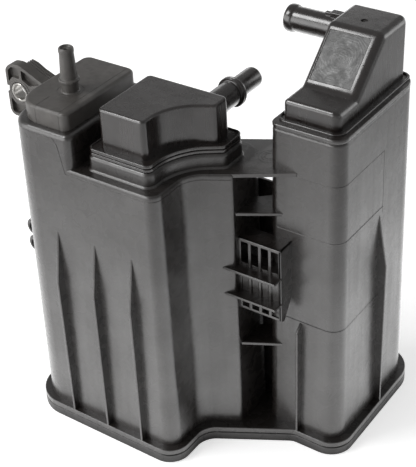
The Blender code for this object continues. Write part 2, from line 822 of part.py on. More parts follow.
def canister_body(material):
    base = prism("flange", outline(flange_corners()), FLANGE_Z0, FLANGE_Z1)
    block = [(LEDGE_Z - 2 * WALL, outline(block_corners(), drafted(LEDGE_Z - 2 * WALL) + BLOCK_STEP))]
    block += rounded_top(block_corners(), drafted(BLOCK_Z) + BLOCK_STEP, BLOCK_Z, BLOCK_R)
    dome = [(BLOCK_Z - WALL / 2, outline(dome_corners()))]
    dome += rounded_top(dome_corners(), 0, DOME_Z, DOME_EDGE_R)
    pad = [(LEDGE_Z - WALL / 2, outline(pad_corners()))]
    pad += rounded_top(pad_corners(), 0, PAD_Z, PAD_EDGE_R)
    bracket_joined, windows = bracket()
    arm_joined, arm_cuts = arm()
    joined = [
        chamber("left_walls", left_corners(), LEDGE_Z, LEDGE_R),
        chamber("right_walls", right_corners(), RIGHT_Z, RIGHT_EDGE_R),
        loft("block", block),
        loft("dome", dome),
        loft("pad", pad),
        nipple(),
    ]
    joined += fins() + webs() + bracket_joined + arm_joined + hooks()
    below = FLANGE_Z0 - 1
    channel_y = (CHANNEL_Y - CHANNEL_W / 2, CHANNEL_Y + CHANNEL_W / 2)
    cuts = windows + arm_cuts
    cuts += [
        cavity("left_cavity", left_corners(), below, LEDGE_Z - WALL),
        cavity("right_cavity", right_corners(), below, RIGHT_Z - WALL),
        cavity("block_cavity", block_corners(), LEDGE_Z - 2 * WALL, BLOCK_Z - WALL, BLOCK_STEP * 5),
        prism("dome_cavity", outline(dome_corners(), WALL), BLOCK_Z - 2 * WALL, DOME_Z - WALL),
        prism("pad_cavity", outline(pad_corners(), WALL), LEDGE_Z - 2 * WALL, PAD_Z - WALL),
        prism("pad_port", outline(lid_corners(), LID_WALL), PAD_Z - 2 * WALL, PAD_Z + 1),
        prism("vent_port", outline(vent_port_corners()), RIGHT_Z - 2 * WALL, RIGHT_Z + 1),
        rod(
            "nipple_bore", (NIPPLE_X, NIPPLE_Y, DOME_Z - 2 * WALL), (0, 0, 1), NIPPLE_BORE_R,
            NIPPLE_TIP_Z - DOME_Z + 3 * WALL,
        ),
        box(
            "transfer_channel",
            (LEFT_GAP_X - 2 * WALL, RIGHT_X0 + 2 * WALL),
            channel_y,
            (below, FLANGE_Z1 - CHANNEL_ROOF_T),
        ),
    ]
    return finish(
        "canister_body",
        base,
        [("UNION", joined), ("DIFFERENCE", cuts), ("UNION", standoffs())],
        material,
    )


# Bottom cover


def bottom_cover(material):
    """Dished cover: a rim that meets the flange, a tongue inside each chamber and ribs underneath."""
    flange = flange_corners()
    base = prism("cover_block", outline(flange), 0, COVER_RIM_H)
    hollows, tongues = [], []
    fit = WALL + drafted(FLANGE_Z1) + TONGUE_FIT
    for name, corners in (("left", left_corners()), ("right", right_corners())):
        tongues.append(prism(f"{name}_tongue", outline(corners, fit), FLOOR_Z - 1, TONGUE_TOP))
        hollows.append(
            prism(f"{name}_dish", outline(corners, fit + TONGUE_T), FLOOR_Z, TONGUE_TOP + 1)
        )
    seats = [
        rod(
            f"seat_{number}", (x, y, FLOOR_Z - 1), (0, 0, 1), SPRING_R - SPRING_WIRE_R - SEAT_FIT,
            SEAT_H + 1, sides=SEAT_SIDES,
        )
        for number, (x, y) in enumerate(spring_places(), 1)
    ]
    channel_y = (CHANNEL_Y - CHANNEL_W / 2, CHANNEL_Y + CHANNEL_W / 2)
    hollows.append(
        box(
            "cover_channel",
            (LEFT_GAP_X - 3 * WALL, RIGHT_X0 + 3 * WALL),
            channel_y,
            (FLOOR_Z, TONGUE_TOP + 1),
        )
    )
    underside = prism("underside", outline(flange, COVER_RIM_W), -1, COVER_PLATE_Z)
    return finish(
        "bottom_cover",
        base,
        [("UNION", tongues), ("DIFFERENCE", hollows + [underside]), ("UNION", seats + under_ribs())],
        material,
    )


def under_ribs():
    """Ribs across the underside, each as long as the rim allows."""
    ribs = []
    plan = outline(flange_corners(), COVER_RIM_W - UNDER_RIB_ROOT)
    y = UNDER_RIB_PITCH / 2
    while y < Y_MAX - COVER_RIM_W:
        for number, (x0, x1) in enumerate(spans(plan, y, 1)):
            ribs.append(
                box(
                    f"under_rib_y{y:.0f}_{number}",
                    (x0, x1),
                    (y - UNDER_RIB_T / 2, y + UNDER_RIB_T / 2),
                    (0, COVER_PLATE_Z + 0.5),
                )
            )
        y += UNDER_RIB_PITCH
    x = X_MIN + UNDER_RIB_PITCH * 2
    while x < X_MAX - COVER_RIM_W:
        for number, (y0, y1) in enumerate(spans(plan, x, 0)):
            ribs.append(
                box(
                    f"under_rib_x{x:.0f}_{number}",
                    (x - UNDER_RIB_T / 2, x + UNDER_RIB_T / 2),
                    (y0, y1),
                    (0, COVER_PLATE_Z + 0.5),
                )
            )
        x += UNDER_RIB_PITCH
    return ribs


def spans(plan, level, axis):
    """Stretches of the line where the axis coordinate is level that lie inside the plan."""
    crossings = []
    for one, two in zip(plan, plan[1:] + plan[:1]):
        low, high = one[axis], two[axis]
        if (low - level) * (high - level) < 0:
            share = (level - low) / (high - low)
            crossings.append(one[1 - axis] + share * (two[1 - axis] - one[1 - axis]))
    crossings.sort()
    return list(zip(crossings[::2], crossings[1::2]))


# Port lid


def port_lid(material):
    """Lid of the raised pad: a two-layer weld rim, a hollow dome and the spigot for the tank's hose."""
    z0 = PAD_Z + GAP
    z1 = z0 + LID_LAYER_H
    z2 = z1 + LID_GROOVE_H
    z3 = z2 + LID_LAYER_H
    pad = pad_corners()
    rim = [
        (z0, outline(pad, LID_INSET)),
        (z1, outline(pad, LID_INSET)),
        (z1, outline(pad, LID_INSET + LID_GROOVE_D)),
        (z2, outline(pad, LID_INSET + LID_GROOVE_D)),
        (z2, outline(pad, LID_INSET)),
        (z3, outline(pad, LID_INSET + LID_GROOVE_D)),
    ]
    base = loft("lid_rim", rim)
    lid = lid_corners()
    shell = loft("lid_shell", [(z3 - 1, outline(lid))] + rounded_top(lid, 0.3, LID_Z, LID_EDGE_R))
    wall_y = LID_Y1 - LID_WALL / 2
    length = SPIGOT_END_Y - wall_y
    collar = SPIGOT_COLLAR_Y - wall_y
    collar_end = collar + SPIGOT_COLLAR_W
    profile = [
        (0, length),
        (SPIGOT_R - 2 * BEAD_CHAMFER, length),
        (SPIGOT_R - BEAD_CHAMFER / 2, length - BEAD_CHAMFER),
        (SPIGOT_R, length - 3 * BEAD_CHAMFER),
        (SPIGOT_R, collar_end + BEAD_CHAMFER),
        (SPIGOT_COLLAR_R - BEAD_CHAMFER, collar_end),
        (SPIGOT_COLLAR_R, collar_end - BEAD_CHAMFER),
        (SPIGOT_COLLAR_R, collar + BEAD_CHAMFER),
        (SPIGOT_COLLAR_R - BEAD_CHAMFER, collar),
        (SPIGOT_BASE_R, collar),
        (SPIGOT_BASE_R, 0),
        (0, 0),
    ]
    spigot = turned("spigot", profile, (SPIGOT_X, wall_y, SPIGOT_Z), (0, 1, 0))
    inside = prism("lid_inside", outline(lid, LID_WALL), z0 - 1, LID_Z - LID_WALL)
    bore = rod("spigot_bore", (SPIGOT_X, wall_y - 2, SPIGOT_Z), (0, 1, 0), SPIGOT_BORE_R, length + 4)
    return finish("port_lid", base, [("UNION", [shell, spigot]), ("DIFFERENCE", [inside, bore])], material)


# Vent hood


def vent_port_corners():
    inset = HOOD_WALL + VENT_RIM_W
    return [
        (HOOD_X0 + inset, HOOD_Y0 + inset, VENT_PORT_R),
        (HOOD_X1 - inset, HOOD_Y0 + inset, VENT_PORT_R),
        (HOOD_X1 - inset, HOOD_Y1 - inset, VENT_PORT_R),
        (HOOD_X0 + inset, HOOD_Y1 - inset, VENT_PORT_R),
    ]


def hood_profile(inset, bottom):
    """Side of the hood: a low front, a slope and a high back, drawn in by inset."""
    slope = math.atan2(HOOD_RISE, HOOD_CREST_Y - HOOD_STEP_Y)
    shift = inset * math.tan(slope / 2)
    return [
        (HOOD_Y0 + inset, bottom),
        (HOOD_Y1 - inset, bottom),
        (HOOD_Y1 - inset, HOOD_TOP_Z - inset),
        (HOOD_CREST_Y + shift, HOOD_TOP_Z - inset),
        (HOOD_STEP_Y + shift, HOOD_LOW_Z - inset),
        (HOOD_Y0 + inset, HOOD_LOW_Z - inset),
    ]


def hood_foot(offset):
    """Plan of the hood's foot, grown by offset."""
    return outline(
        [
            (HOOD_X0, HOOD_Y0, HOOD_FOOT_R),
            (HOOD_X1, HOOD_Y0, HOOD_FOOT_R),
            (HOOD_X1, HOOD_Y1, HOOD_FOOT_R),
            (HOOD_X0, HOOD_Y1, HOOD_FOOT_R),
        ],
        -offset,
    )


def vent_hood(material):
    inset = drafted(RIGHT_Z) - LIP_OVERHANG
    lip = [(LIP_Z0, outline(right_corners(), inset))]
    lip += rounded_top(right_corners(), inset, LIP_Z1, LIP_H / 3, steps=2)
    base = loft("lip", lip)
    bead_top = LIP_Z1 + HOOD_BEAD_H
    bead = prism("bead", hood_foot(HOOD_BEAD_OFFSET + HOOD_BEAD_W), LIP_Z0 + 1, bead_top)
    moat = prism("moat", hood_foot(HOOD_BEAD_OFFSET), LIP_Z1 - 0.4, bead_top + 1)
    shell = side_prism("hood_shell", hood_profile(0, LIP_Z0 + 1), HOOD_X0, HOOD_X1)
    edges = shell.modifiers.new("edges", "BEVEL")
    edges.width = HOOD_EDGE_R * MM
    edges.segments = 3
    edges.limit_method = "ANGLE"
    edges.angle_limit = math.radians(25)
    length = HOOD_X0 - VENT_END_X + HOOD_WALL / 2
    profile = [
        (0, length),
        (VENT_R - 2 * BEAD_CHAMFER, length),
        (VENT_BEAD_R - BEAD_CHAMFER, length - BEAD_CHAMFER),
        (VENT_BEAD_R, length - 3 * BEAD_CHAMFER),
        (VENT_BEAD_R, length - VENT_BEAD_W + 2 * BEAD_CHAMFER),
        (VENT_R, length - VENT_BEAD_W),
        (VENT_R, 0),
        (0, 0),
    ]
    wall_x = HOOD_X0 + HOOD_WALL / 2
    tube = turned("vent_tube", profile, (wall_x, VENT_Y, VENT_Z), (-1, 0, 0))
    key = box(
        "vent_key",
        (HOOD_X0 - VENT_KEY_L, wall_x),
        (VENT_Y - VENT_KEY_W / 2, VENT_Y + VENT_KEY_W / 2),
        (VENT_Z, VENT_Z + VENT_R + VENT_KEY_H),
    )
    inside = side_prism(
        "hood_inside", hood_profile(HOOD_WALL, LIP_Z0 - 1), HOOD_X0 + HOOD_WALL, HOOD_X1 - HOOD_WALL
    )
    bore = rod("vent_bore", (wall_x + 2, VENT_Y, VENT_Z), (-1, 0, 0), VENT_BORE_R, length + 4)
    return finish(
        "vent_hood",
        base,
        [
            ("UNION", [bead]),
            ("DIFFERENCE", [moat]),
            ("UNION", [shell, tube, key]),
            ("DIFFERENCE", [inside, bore]),
        ],
        material,
    )


# Metal bush


def mount_bush(material):
    start = ARM_Y - BUSH_PROUD
    length = ARM_DEPTH + 2 * BUSH_PROUD
    base = rod("bush_outside", (BUSH_X, start, BUSH_Z), (0, 1, 0), BUSH_R, length)
    bore = rod("bush_bore", (BUSH_X, start - 1, BUSH_Z), (0, 1, 0), BUSH_BORE_R, length + 2)
    return finish("mount_bush", base, [("DIFFERENCE", [bore])], material)


# Inside the chambers


def spring_places():
    """Four springs under the left plate and two under the right one."""
    spread_x = (LEFT_X1 - LEFT_X0) * LEFT_SPRING_SPREAD[0]
    spread_y = (LEFT_Y1 - LEFT_Y0) * LEFT_SPRING_SPREAD[1]
    left_x, left_y = (LEFT_X0 + LEFT_X1) / 2, (LEFT_Y0 + LEFT_Y1) / 2
    left = [(left_x + sx * spread_x, left_y + sy * spread_y) for sx in (-1, 1) for sy in (-1, 1)]
    right_x, right_y = (RIGHT_X0 + RIGHT_X1) / 2, (RIGHT_Y0 + RIGHT_Y1) / 2
    right = [(right_x, right_y + side * (RIGHT_Y1 - RIGHT_Y0) * RIGHT_SPRING_SPREAD) for side in (-1, 1)]
    return left + right


def fitted(name, corners, z0, z1, extra=0.0):
    """Slab that fills a chamber with a small clearance between two heights."""
    fit = WALL + CORE_FIT + extra
    return loft(name, [(z, outline(corners, fit + drafted(z))) for z in (z0, z1)])


def layer(name, corners, z0, z1, material, extra=0.0):
    return finish(name, fitted(name + "_slab", corners, z0, z1, extra), [], material)


def plate_slots(corners, places, z0, z1):
    """Rows of slots that let vapour through the plate, clear of the springs."""
    plan = outline(corners, WALL + CORE_FIT + drafted(z1) + PLATE_EDGE)
    clear = SPRING_R + PLATE_SLOT_L / 2
    slots = []
    y = min(point[1] for point in plan) + PLATE_SLOT_W
    while y < max(point[1] for point in plan) - PLATE_SLOT_W / 2:
        for x0, x1 in spans(plan, y, 1):
            count = int((x1 - x0) // (PLATE_SLOT_L + PLATE_SLOT_W))
            pitch = (x1 - x0 + PLATE_SLOT_W) / max(count, 1)
            for number in range(count):
                x = x0 + number * pitch
                middle = (x + PLATE_SLOT_L / 2, y)
                if min(math.dist(middle, place) for place in places) > clear:
                    across = (x, x + pitch - PLATE_SLOT_W)
                    along = (y - PLATE_SLOT_W / 2, y + PLATE_SLOT_W / 2)
                    slots.append(box("slot", across, along, (z0 - 1, z1 + 1)))
        y += PLATE_SLOT_PITCH
    return slots


def pressure_plate(name, corners, places, z0, material):
    """Slotted plate with a cup on its underside for each spring."""
    z1 = z0 + PLATE_T
    low = z0 - SEAT_H
    cup_r = SPRING_R - SPRING_WIRE_R - SEAT_FIT
    cups = [rod("cup", (x, y, low), (0, 0, 1), cup_r, SEAT_H + 1, sides=SEAT_SIDES) for x, y in places]
    holes = [
        rod("cup_hole", (x, y, low - 1), (0, 0, 1), cup_r - SEAT_T, SEAT_H + 1, sides=SEAT_SIDES)
        for x, y in places
    ]
    slots = plate_slots(corners, places, z0, z1)
    base = fitted(name + "_slab", corners, z0, z1)
    return finish(name, base, [("UNION", cups), ("DIFFERENCE", holes + slots)], material)


def spring(name, place, z0, z1, material):
    """Compression spring with closed ends, standing between z0 and z1."""
    curve = bpy.data.curves.new(name, "CURVE")
    curve.dimensions = "3D"
    curve.bevel_depth = SPRING_WIRE_R * MM
    curve.bevel_resolution = 2
    curve.use_fill_caps = True
    count = int(SPRING_TURNS * SPRING_POINTS) + 1
    spline = curve.splines.new("POLY")
    spline.points.add(count - 1)
    low, high = z0 + SPRING_WIRE_R, z1 - SPRING_WIRE_R
    for i, point in enumerate(spline.points):
        share = i / (count - 1)
        rise = share - SPRING_EASE * math.sin(2 * math.pi * share) / (2 * math.pi)
        angle = 2 * math.pi * SPRING_TURNS * share
        point.co = (
            (place[0] + SPRING_R * math.cos(angle)) * MM,
            (place[1] + SPRING_R * math.sin(angle)) * MM,
            (low + (high - low) * rise) * MM,
            1.0,
        )
    obj = bpy.data.objects.new(name, curve)
    obj.parent = scene_parts["root"]
    scene_parts["pieces"].objects.link(obj)
    curve.materials.append(material)
    return obj


def left_carbon_bed(z0, material):
    """Charcoal of the left chamber, higher under the block, with a slot for the wall between the ports."""
    stack = fitted("bed_stack", block_corners(), TANK_BED_Z - BED_JOIN, PURGE_BED_Z, BLOCK_STEP)
    x0, x1 = DIVIDER_X - GAP, DIVIDER_X + DIVIDER_T + GAP
    slot = box("divider_slot", (x0, x1), (Y_MIN, Y_MAX), (TANK_BED_Z - DIVIDER_DIP - GAP, BLOCK_Z))
    base = fitted("bed_low", left_corners(), z0, TANK_BED_Z)
    return finish("left_carbon_bed", base, [("UNION", [stack]), ("DIFFERENCE", [slot])], material)


def tank_side_felt(material):
    z0 = TANK_BED_Z + LAYER_GAP
    z1 = z0 + FELT_T
    other_side = (X_MIN, DIVIDER_X + DIVIDER_T + GAP)
    cut = box("purge_side", other_side, (Y_MIN, Y_MAX), (z0 - 1, z1 + 1))
    base = fitted("tank_felt", left_corners(), z0, z1)
    return finish("tank_side_felt", base, [("DIFFERENCE", [cut])], material)


def inside_pieces(materials):
    spring_z0 = FLOOR_Z + GAP
    spring_z1 = spring_z0 + SPRING_H
    plate_z0 = spring_z1 + GAP
    felt_z0 = plate_z0 + PLATE_T + LAYER_GAP
    felt_z1 = felt_z0 + FELT_T
    bed_z0 = felt_z1 + LAYER_GAP
    places = spring_places()
    left, right = left_corners(), right_corners()
    for number, place in enumerate(places, 1):
        name = f"left_spring_{number}" if number <= 4 else f"right_spring_{number - 4}"
        spring(name, place, spring_z0, spring_z1, materials["spring"])
    pressure_plate("left_pressure_plate", left, places[:4], plate_z0, materials["plate"])
    pressure_plate("right_pressure_plate", right, places[4:], plate_z0, materials["plate"])
    layer("left_lower_felt", left, felt_z0, felt_z1, materials["felt"])
    layer("right_lower_felt", right, felt_z0, felt_z1, materials["felt"])
    left_carbon_bed(bed_z0, materials["carbon"])
    layer("right_carbon_bed", right, bed_z0, VENT_BED_Z, materials["carbon"])
    tank_side_felt(materials["felt"])
    purge_z0 = PURGE_BED_Z + LAYER_GAP
    layer("purge_side_felt", block_corners(), purge_z0, purge_z0 + FELT_T, materials["felt"], BLOCK_STEP)
    vent_z0 = VENT_BED_Z + LAYER_GAP
    layer("vent_side_felt", right, vent_z0, vent_z0 + FELT_T, materials["felt"])
    foam_z0 = RIGHT_Z + GAP
    foam = prism("foam", hood_foot(-HOOD_WALL - FOAM_FIT), foam_z0, foam_z0 + FOAM_T)
    finish("vent_filter_foam", foam, [], materials["foam"])


def build():
    clear_scene()
    scene_parts["pieces"] = make_collection("charcoal_canister")
    scene_parts["helpers"] = make_collection("cutters", hidden=True)
    root = bpy.data.objects.new("canister_frame", None)
    root.location = -ORIGIN * MM
    scene_parts["pieces"].objects.link(root)
    scene_parts["root"] = root
    canister_body(make_material("housing_nylon", (0.022, 0.022, 0.023), 0.42))
    bottom_cover(make_material("cover_nylon", (0.03, 0.03, 0.032), 0.45))
    port_lid(make_material("lid_nylon", (0.018, 0.018, 0.019), 0.38))
    vent_hood(make_material("hood_nylon", (0.02, 0.02, 0.021), 0.38))
    mount_bush(make_material("bush_steel", (0.62, 0.62, 0.6), 0.3, 1.0))
    inside_pieces(
        {
            "spring": make_material("spring_steel", (0.45, 0.45, 0.46), 0.35, 1.0),
            "plate": make_material("plate_nylon", (0.03, 0.03, 0.03), 0.5),
            "felt": make_material("felt_grey", (0.5, 0.5, 0.48), 0.95),
            "foam": make_material("filter_foam", (0.08, 0.08, 0.085), 0.95),
            "carbon": make_material("charcoal", (0.012, 0.012, 0.012), 0.9),
        }
    )


build()
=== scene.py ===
"""Charcoal canister: the dressed model of a fuel vapour canister with two moulded chambers.

Sizes are in millimetres in the moulding's own frame: X along the front, Y to the back and Z up, with zero
on the front edge of the flange at the first front rib. Each piece is moved to the frame of the CAD model
when it is finished.
"""

import math

import bmesh
import bpy
from bpy.props import FloatProperty, FloatVectorProperty, PointerProperty
from mathutils import Matrix, Vector, noise


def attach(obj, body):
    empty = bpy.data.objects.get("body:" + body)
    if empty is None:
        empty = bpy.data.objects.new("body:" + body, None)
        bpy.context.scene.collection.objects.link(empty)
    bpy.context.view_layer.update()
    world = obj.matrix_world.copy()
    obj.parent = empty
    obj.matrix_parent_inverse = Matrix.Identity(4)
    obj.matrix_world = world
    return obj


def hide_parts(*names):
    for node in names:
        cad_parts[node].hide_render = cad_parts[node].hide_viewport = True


bl_info = {
    "name": "Charcoal canister",
    "version": (1, 0, 0),
    "blender": (4, 5, 0),
    "location": "3D View > Sidebar > Canister",
    "description": "Builds a fuel vapour canister of moulded nylon with its lid, vent hood and mounting arm",
    "category": "Add Mesh",
}

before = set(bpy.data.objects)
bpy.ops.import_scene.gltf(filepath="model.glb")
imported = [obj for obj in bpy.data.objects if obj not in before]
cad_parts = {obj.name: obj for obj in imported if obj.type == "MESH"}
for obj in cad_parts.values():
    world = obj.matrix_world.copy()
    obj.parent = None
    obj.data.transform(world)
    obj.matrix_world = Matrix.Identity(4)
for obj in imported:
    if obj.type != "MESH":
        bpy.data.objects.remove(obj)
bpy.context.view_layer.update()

MM = 0.001
ROOT = "root"
EDGE_WEIGHT = "bevel_weight_edge"

# Middle of the footprint, which is the origin of the CAD model
MIDDLE = (42.1, 76.0, 0.0)
TO_CAD = Matrix.Scale(MM, 4) @ Matrix.Translation(-Vector(MIDDLE))

# Steps of a rounded corner, the turn that counts as an edge, and how deep a plate runs into a wall
ARC = 12
SHARP = math.radians(32)
BITE = 1.2

# Cover and flange
COVER_TOP = 5.5
COVER_RIM_W = 6.6
COVER_DISH = 1.5
FLANGE_Z = (5.8, 9.4)
FLANGE_LIP = 4.4
SEAM_R = 0.6
FLANGE_DIAGONAL_LIP = 6.0
UNDER_RIB_T = 1.6
UNDER_RIB_PITCH = 24.0
UNDER_RIB_X0 = -19.6

# Left chamber, with its raised block and purge dome
WALL = 2.5
DRAFT = 0.0122
SLOPE = math.tan(math.radians(29.7))
LEFT_X = (-30.0, 71.0, 91.3)
LEFT_Y = (4.4, 33.7, 81.6)
LEFT_RADII = (17.2, 8.5, 12.0, 3.4, 14.0, 14.0)
LEDGE_Z = 178.8
LEDGE_R = 1.4
BLOCK_X1 = 15.2
BLOCK_Y1 = 78.2
BLOCK_R = 6.4
BLOCK_Z = 198.5
DOME = ((-24.3, 11.0, 14.5), (10.8, 11.0, 3.8), (10.8, 72.0, 5.0), (-24.3, 72.0, 5.0))
DOME_Z = 208.7
DOME_LINE_X = (-9.8, 6.0)
DOME_RING_R = 7.2
NIPPLE = (-4.6, 34.3)
NIPPLE_TIP_Z = 234.0

# Port lid on its pad; x is left, front end and gap, and y front, hollow and back, as for the chamber
PAD_X = (20.5, 61.9, 83.3)
PAD_Y = (12.8, 36.5, 69.5)
PAD_SLOPE = math.tan(math.radians(34.0))
PAD_RADII = (4.5, 5.0, 27.0, 4.5, 5.5, 3.5)
PAD_Z = 187.5
LID_X = (26.0, 56.3, 77.6)
LID_Y = (18.2, 39.8, 63.5)
LID_SLOPE = math.tan(math.radians(28.5))
LID_RADII = (3.2, 3.2, 23.0, 3.2, 3.2, 3.2)
LID_Z = 213.6
SPIGOT = (65.5, 63.5, 203.5)
SPIGOT_END_Y = 105.2

# Right chamber and vent hood
RIGHT_X = (100.4, 147.4)
RIGHT_Y = (59.4, 147.6)
RIGHT_RADII = (7.0, 9.5, 16.0, 6.0)
RIGHT_Z = 203.8
LIP_Z = (204.1, 206.5)
HOOD_X = (107.0, 139.3)
HOOD_Y = (68.3, 140.6)
HOOD_PLAN_R = 3.0
HOOD_LOW_Z = 217.5
HOOD_TOP_Z = 242.0
HOOD_STEP_Y = 87.0
HOOD_CREST_Y = 113.7
HOOD_RIGHT_R = 4.4
PANEL_X = (108.6, 133.6)
PANEL_MARGIN = 3.6
PANEL_STEP = 0.35
PANEL_DEPTH = 0.3
SWIRL = 1.6
GATE = (122.5, 123.4)
GATE_R = 1.9
GATE_DEPTH = 0.9
VENT = (107.0, 127.0, 232.0)
VENT_END_X = 74.9

# Ribs on the walls, as (place along the wall, height of the bend, height of the tip)
FIN_T = 1.5
FIN_SETBACK = 0.4
FIN_TIP_BITE = 4.0
FRONT_FINS = ((0.0, 104.0, 136.0), (25.6, 104.0, 136.0), (50.7, 104.0, 136.0))
SHORT_FIN = (122.5, 81.0, 86.0)
SIDE_FIN = (104.5, 108.0, 140.5)

# Mould's parting lines: heights on the right chamber, and the way down beside the left one's block
RIGHT_LINE_Z = (179.3, 144.5, 87.0)
LEFT_LINE_Z = (BLOCK_Z - 2.9, LEDGE_Z - 3.1)
LEFT_LINE_STEP = ((4.2, LEFT_LINE_Z[0]), (6.7, LEFT_LINE_Z[0] - 3.6), (10.5, LEFT_LINE_Z[1]))

# Webs between the chambers
WEB_T = 2.0
TOP_WEB_Z = 178.5
TOP_WEB_RISE = 0.09
TOP_WEB_TIP_X = 119.3
TOP_WEB_REAR_Y = 89.4
WEB_LEVELS = (154.3, 66.6)
RIPPLE = (97.0, 72.0)
RIPPLE_R = (3.2, 5.0, 6.8)
RIPPLE_LINE_R = 0.16
WEB_TIP_X = 111.0
BACK_PANEL_Y = 80.0
BACK_PANEL_TOP = 158.3

# Clip bracket
BRACKET_X = (89.5, 116.8)
BRACKET_Y = 51.0
BRACKET_T = 1.6
BRACKET_Z = (91.5, 138.3)
BRACKET_POST_W = 1.9
WINDOW_COUNT = 4
WINDOW_ROWS = ((93.2, 99.6), (122.8, 136.3))
WINDOW_PANEL_STEP = 0.15
WINDOW_PANEL_DEPTH = 0.9
BRACKET_SIDE_DROP = 1.5
BRACKET_SIDE_RISE = 12.0
SHELF_Z = (104.0, 121.0)
SHELF_X0 = 83.6
SHELF_Y = 42.6

# Mounting arm, as (x, z) from the middle of its bush
BUSH = (-58.2, 186.0)
ARM_Y = (50.0, 56.0)
STRUT_Y1 = 62.0
STRUT_GROOVE_W = 0.6
STRUT_GROOVE_DEPTH = 0.7
STRUT_GROOVE_SHARES = (0.2, 0.5, 0.8)
ARM_EDGE = (
    (-9.4, -14.0), (-6.9, -16.5), (4.0, -16.5), (13.0, -11.0), (31.5, -9.0), (31.5, 4.5),
    (17.0, 10.4), (6.0, 15.4), (1.0, 17.4), (-5.4, 16.7), (-9.4, 12.9),
)
STRUT_EDGE = (
    (31.5, -9.0), (31.5, 4.5), (17.0, 10.4), (11.6, 12.4), (6.0, 15.4), (1.5, 16.4), (1.5, 11.5),
    (9.0, 6.5), (12.0, -8.0),
)
ARM_POCKETS = (
    ((-7.6, 5.0), (-5.0, 8.4), (0.6, 8.4), (0.6, 15.2), (-5.0, 14.7), (-7.6, 12.2)),
    ((2.6, 8.4), (8.0, 5.5), (16.0, 8.6), (5.6, 13.4), (2.6, 14.4)),
    ((-7.6, -13.3), (-6.2, -14.7), (2.5, -14.7), (5.0, -8.4), (-4.0, -8.4), (-7.6, -5.0)),
)
ARM_NOTCH = ((-10.4, -1.6), (-5.8, -1.6), (-5.8, 2.4), (-10.4, 2.4))
ARM_POCKET_DEPTH = 2.6
BOSS_R = 8.05
BUSH_R = (4.5, 5.75)

# Tube hooks
HOOK_Z = (107.8, 119.3)
HOOK_Y = 20.0
HOOK_R = 5.6
HOOK_WIRE = 1.6
HOOK_W = 3.0
HOOK_REACH = 3.0

# Weld flash: length of its steps, size of its lumps as noise scales, and the seed that keeps them the same
FLASH_STEP = 1.2
FLASH_LUMPS = (0.9, 0.22)
FLASH_SEED = 5

# Refraction of glass-filled nylon, and spacing of the wave texture's rings at a scale of one
NYLON_IOR = 1.56
WAVE_RING = math.pi / 10

# Stage, in metres in the CAD model's frame: the floor, the painted pool of light on its paper, and the lamps'
# aim
FLOOR_HALF = 6.0
GLOW_CENTRE = (-0.005, 0.02, 0.0)
GLOW_REACH = (0.2, 0.44)
LAMP_TARGET = (0.0, 0.0, 0.11)

# Camera: place in metres, azimuth, elevation and roll in degrees, focal length in pixels of the picture
CAMERA_SPOT = (0.3569, -0.4775, 0.5151)
CAMERA_ANGLES = (36.1, 34.34, -2.81)
FOCAL_PIXELS = 1240.0
PICTURE_HEIGHT = 467.0
SENSOR = 36.0


def hex_colour(code):
    """Linear colour of a six-digit sRGB hex value."""
    levels = [int(code[i:i + 2], 16) / 255 for i in (0, 2, 4)]
    return tuple(v / 12.92 if v <= 0.04045 else ((v + 0.055) / 1.055) ** 2.4 for v in levels)


def colour_prop(name, description, code):
    """Colour setting whose default is a hex value."""
    return FloatVectorProperty(
        name=name, description=description, subtype="COLOR", size=3, min=0, max=1, default=hex_colour(code)
    )


class CanisterShape(bpy.types.PropertyGroup):
    """Sizes that change the look of the moulding without changing its fit."""

    edge_radius: FloatProperty(
        name="Edge radius", description="Rounding of the thin ribs and plates, in millimetres",
        default=0.4, min=0.05, max=0.7,
    )
    hood_radius: FloatProperty(
        name="Hood radius", description="Rounding of the vent hood's edges, in millimetres",
        default=2.4, min=0.5, max=4.0,
    )
    line_radius: FloatProperty(
        name="Mould line", description="Radius of the fine grooves where the mould parts, in millimetres",
        default=0.22, min=0.05, max=0.5,
    )


class CanisterFinish(bpy.types.PropertyGroup):
    """Colours and gloss of the materials."""

    housing_colour: colour_prop("Housing", "Glass-filled nylon of the housing", "201c1a")
    lid_colour: colour_prop("Lid and hood", "Smoother nylon of the lid and the hood", "1c1614")
    dome_colour: colour_prop("Dome and arm", "The same nylon where the mould is textured", "4b4845")
    # Partly painted shade: the cover's colour is darker than the housing's for the dark band along the
    # canister's foot
    cover_colour_with_shade: colour_prop("Cover", "Matt nylon of the bottom cover", "1a1716")
    # Painted sheen: the panel's colour is lighter than the lid's nylon to stand in for the key softbox
    # mirrored in the slope
    panel_sheen_colour: colour_prop("Panel", "Rubbed panel of the hood, greyed by the fine marks", "2c2c2b")
    steel_colour: colour_prop("Bush", "Plated steel of the bush", "b4b2ae")
    felt_colour: colour_prop("Felt", "Needled polyester felt", "b4b2ab")
    charcoal_colour: colour_prop("Charcoal", "Pelletised charcoal", "1c1c1d")
    foam_colour: colour_prop("Foam", "Open-cell filter foam", "4a4a4c")
    spring_colour: colour_prop("Springs", "Drawn spring wire", "a9a9a6")
    gloss: FloatProperty(
        name="Roughness", description="Roughness of the moulded nylon", subtype="FACTOR",
        default=0.38, min=0.05, max=1.0,
    )


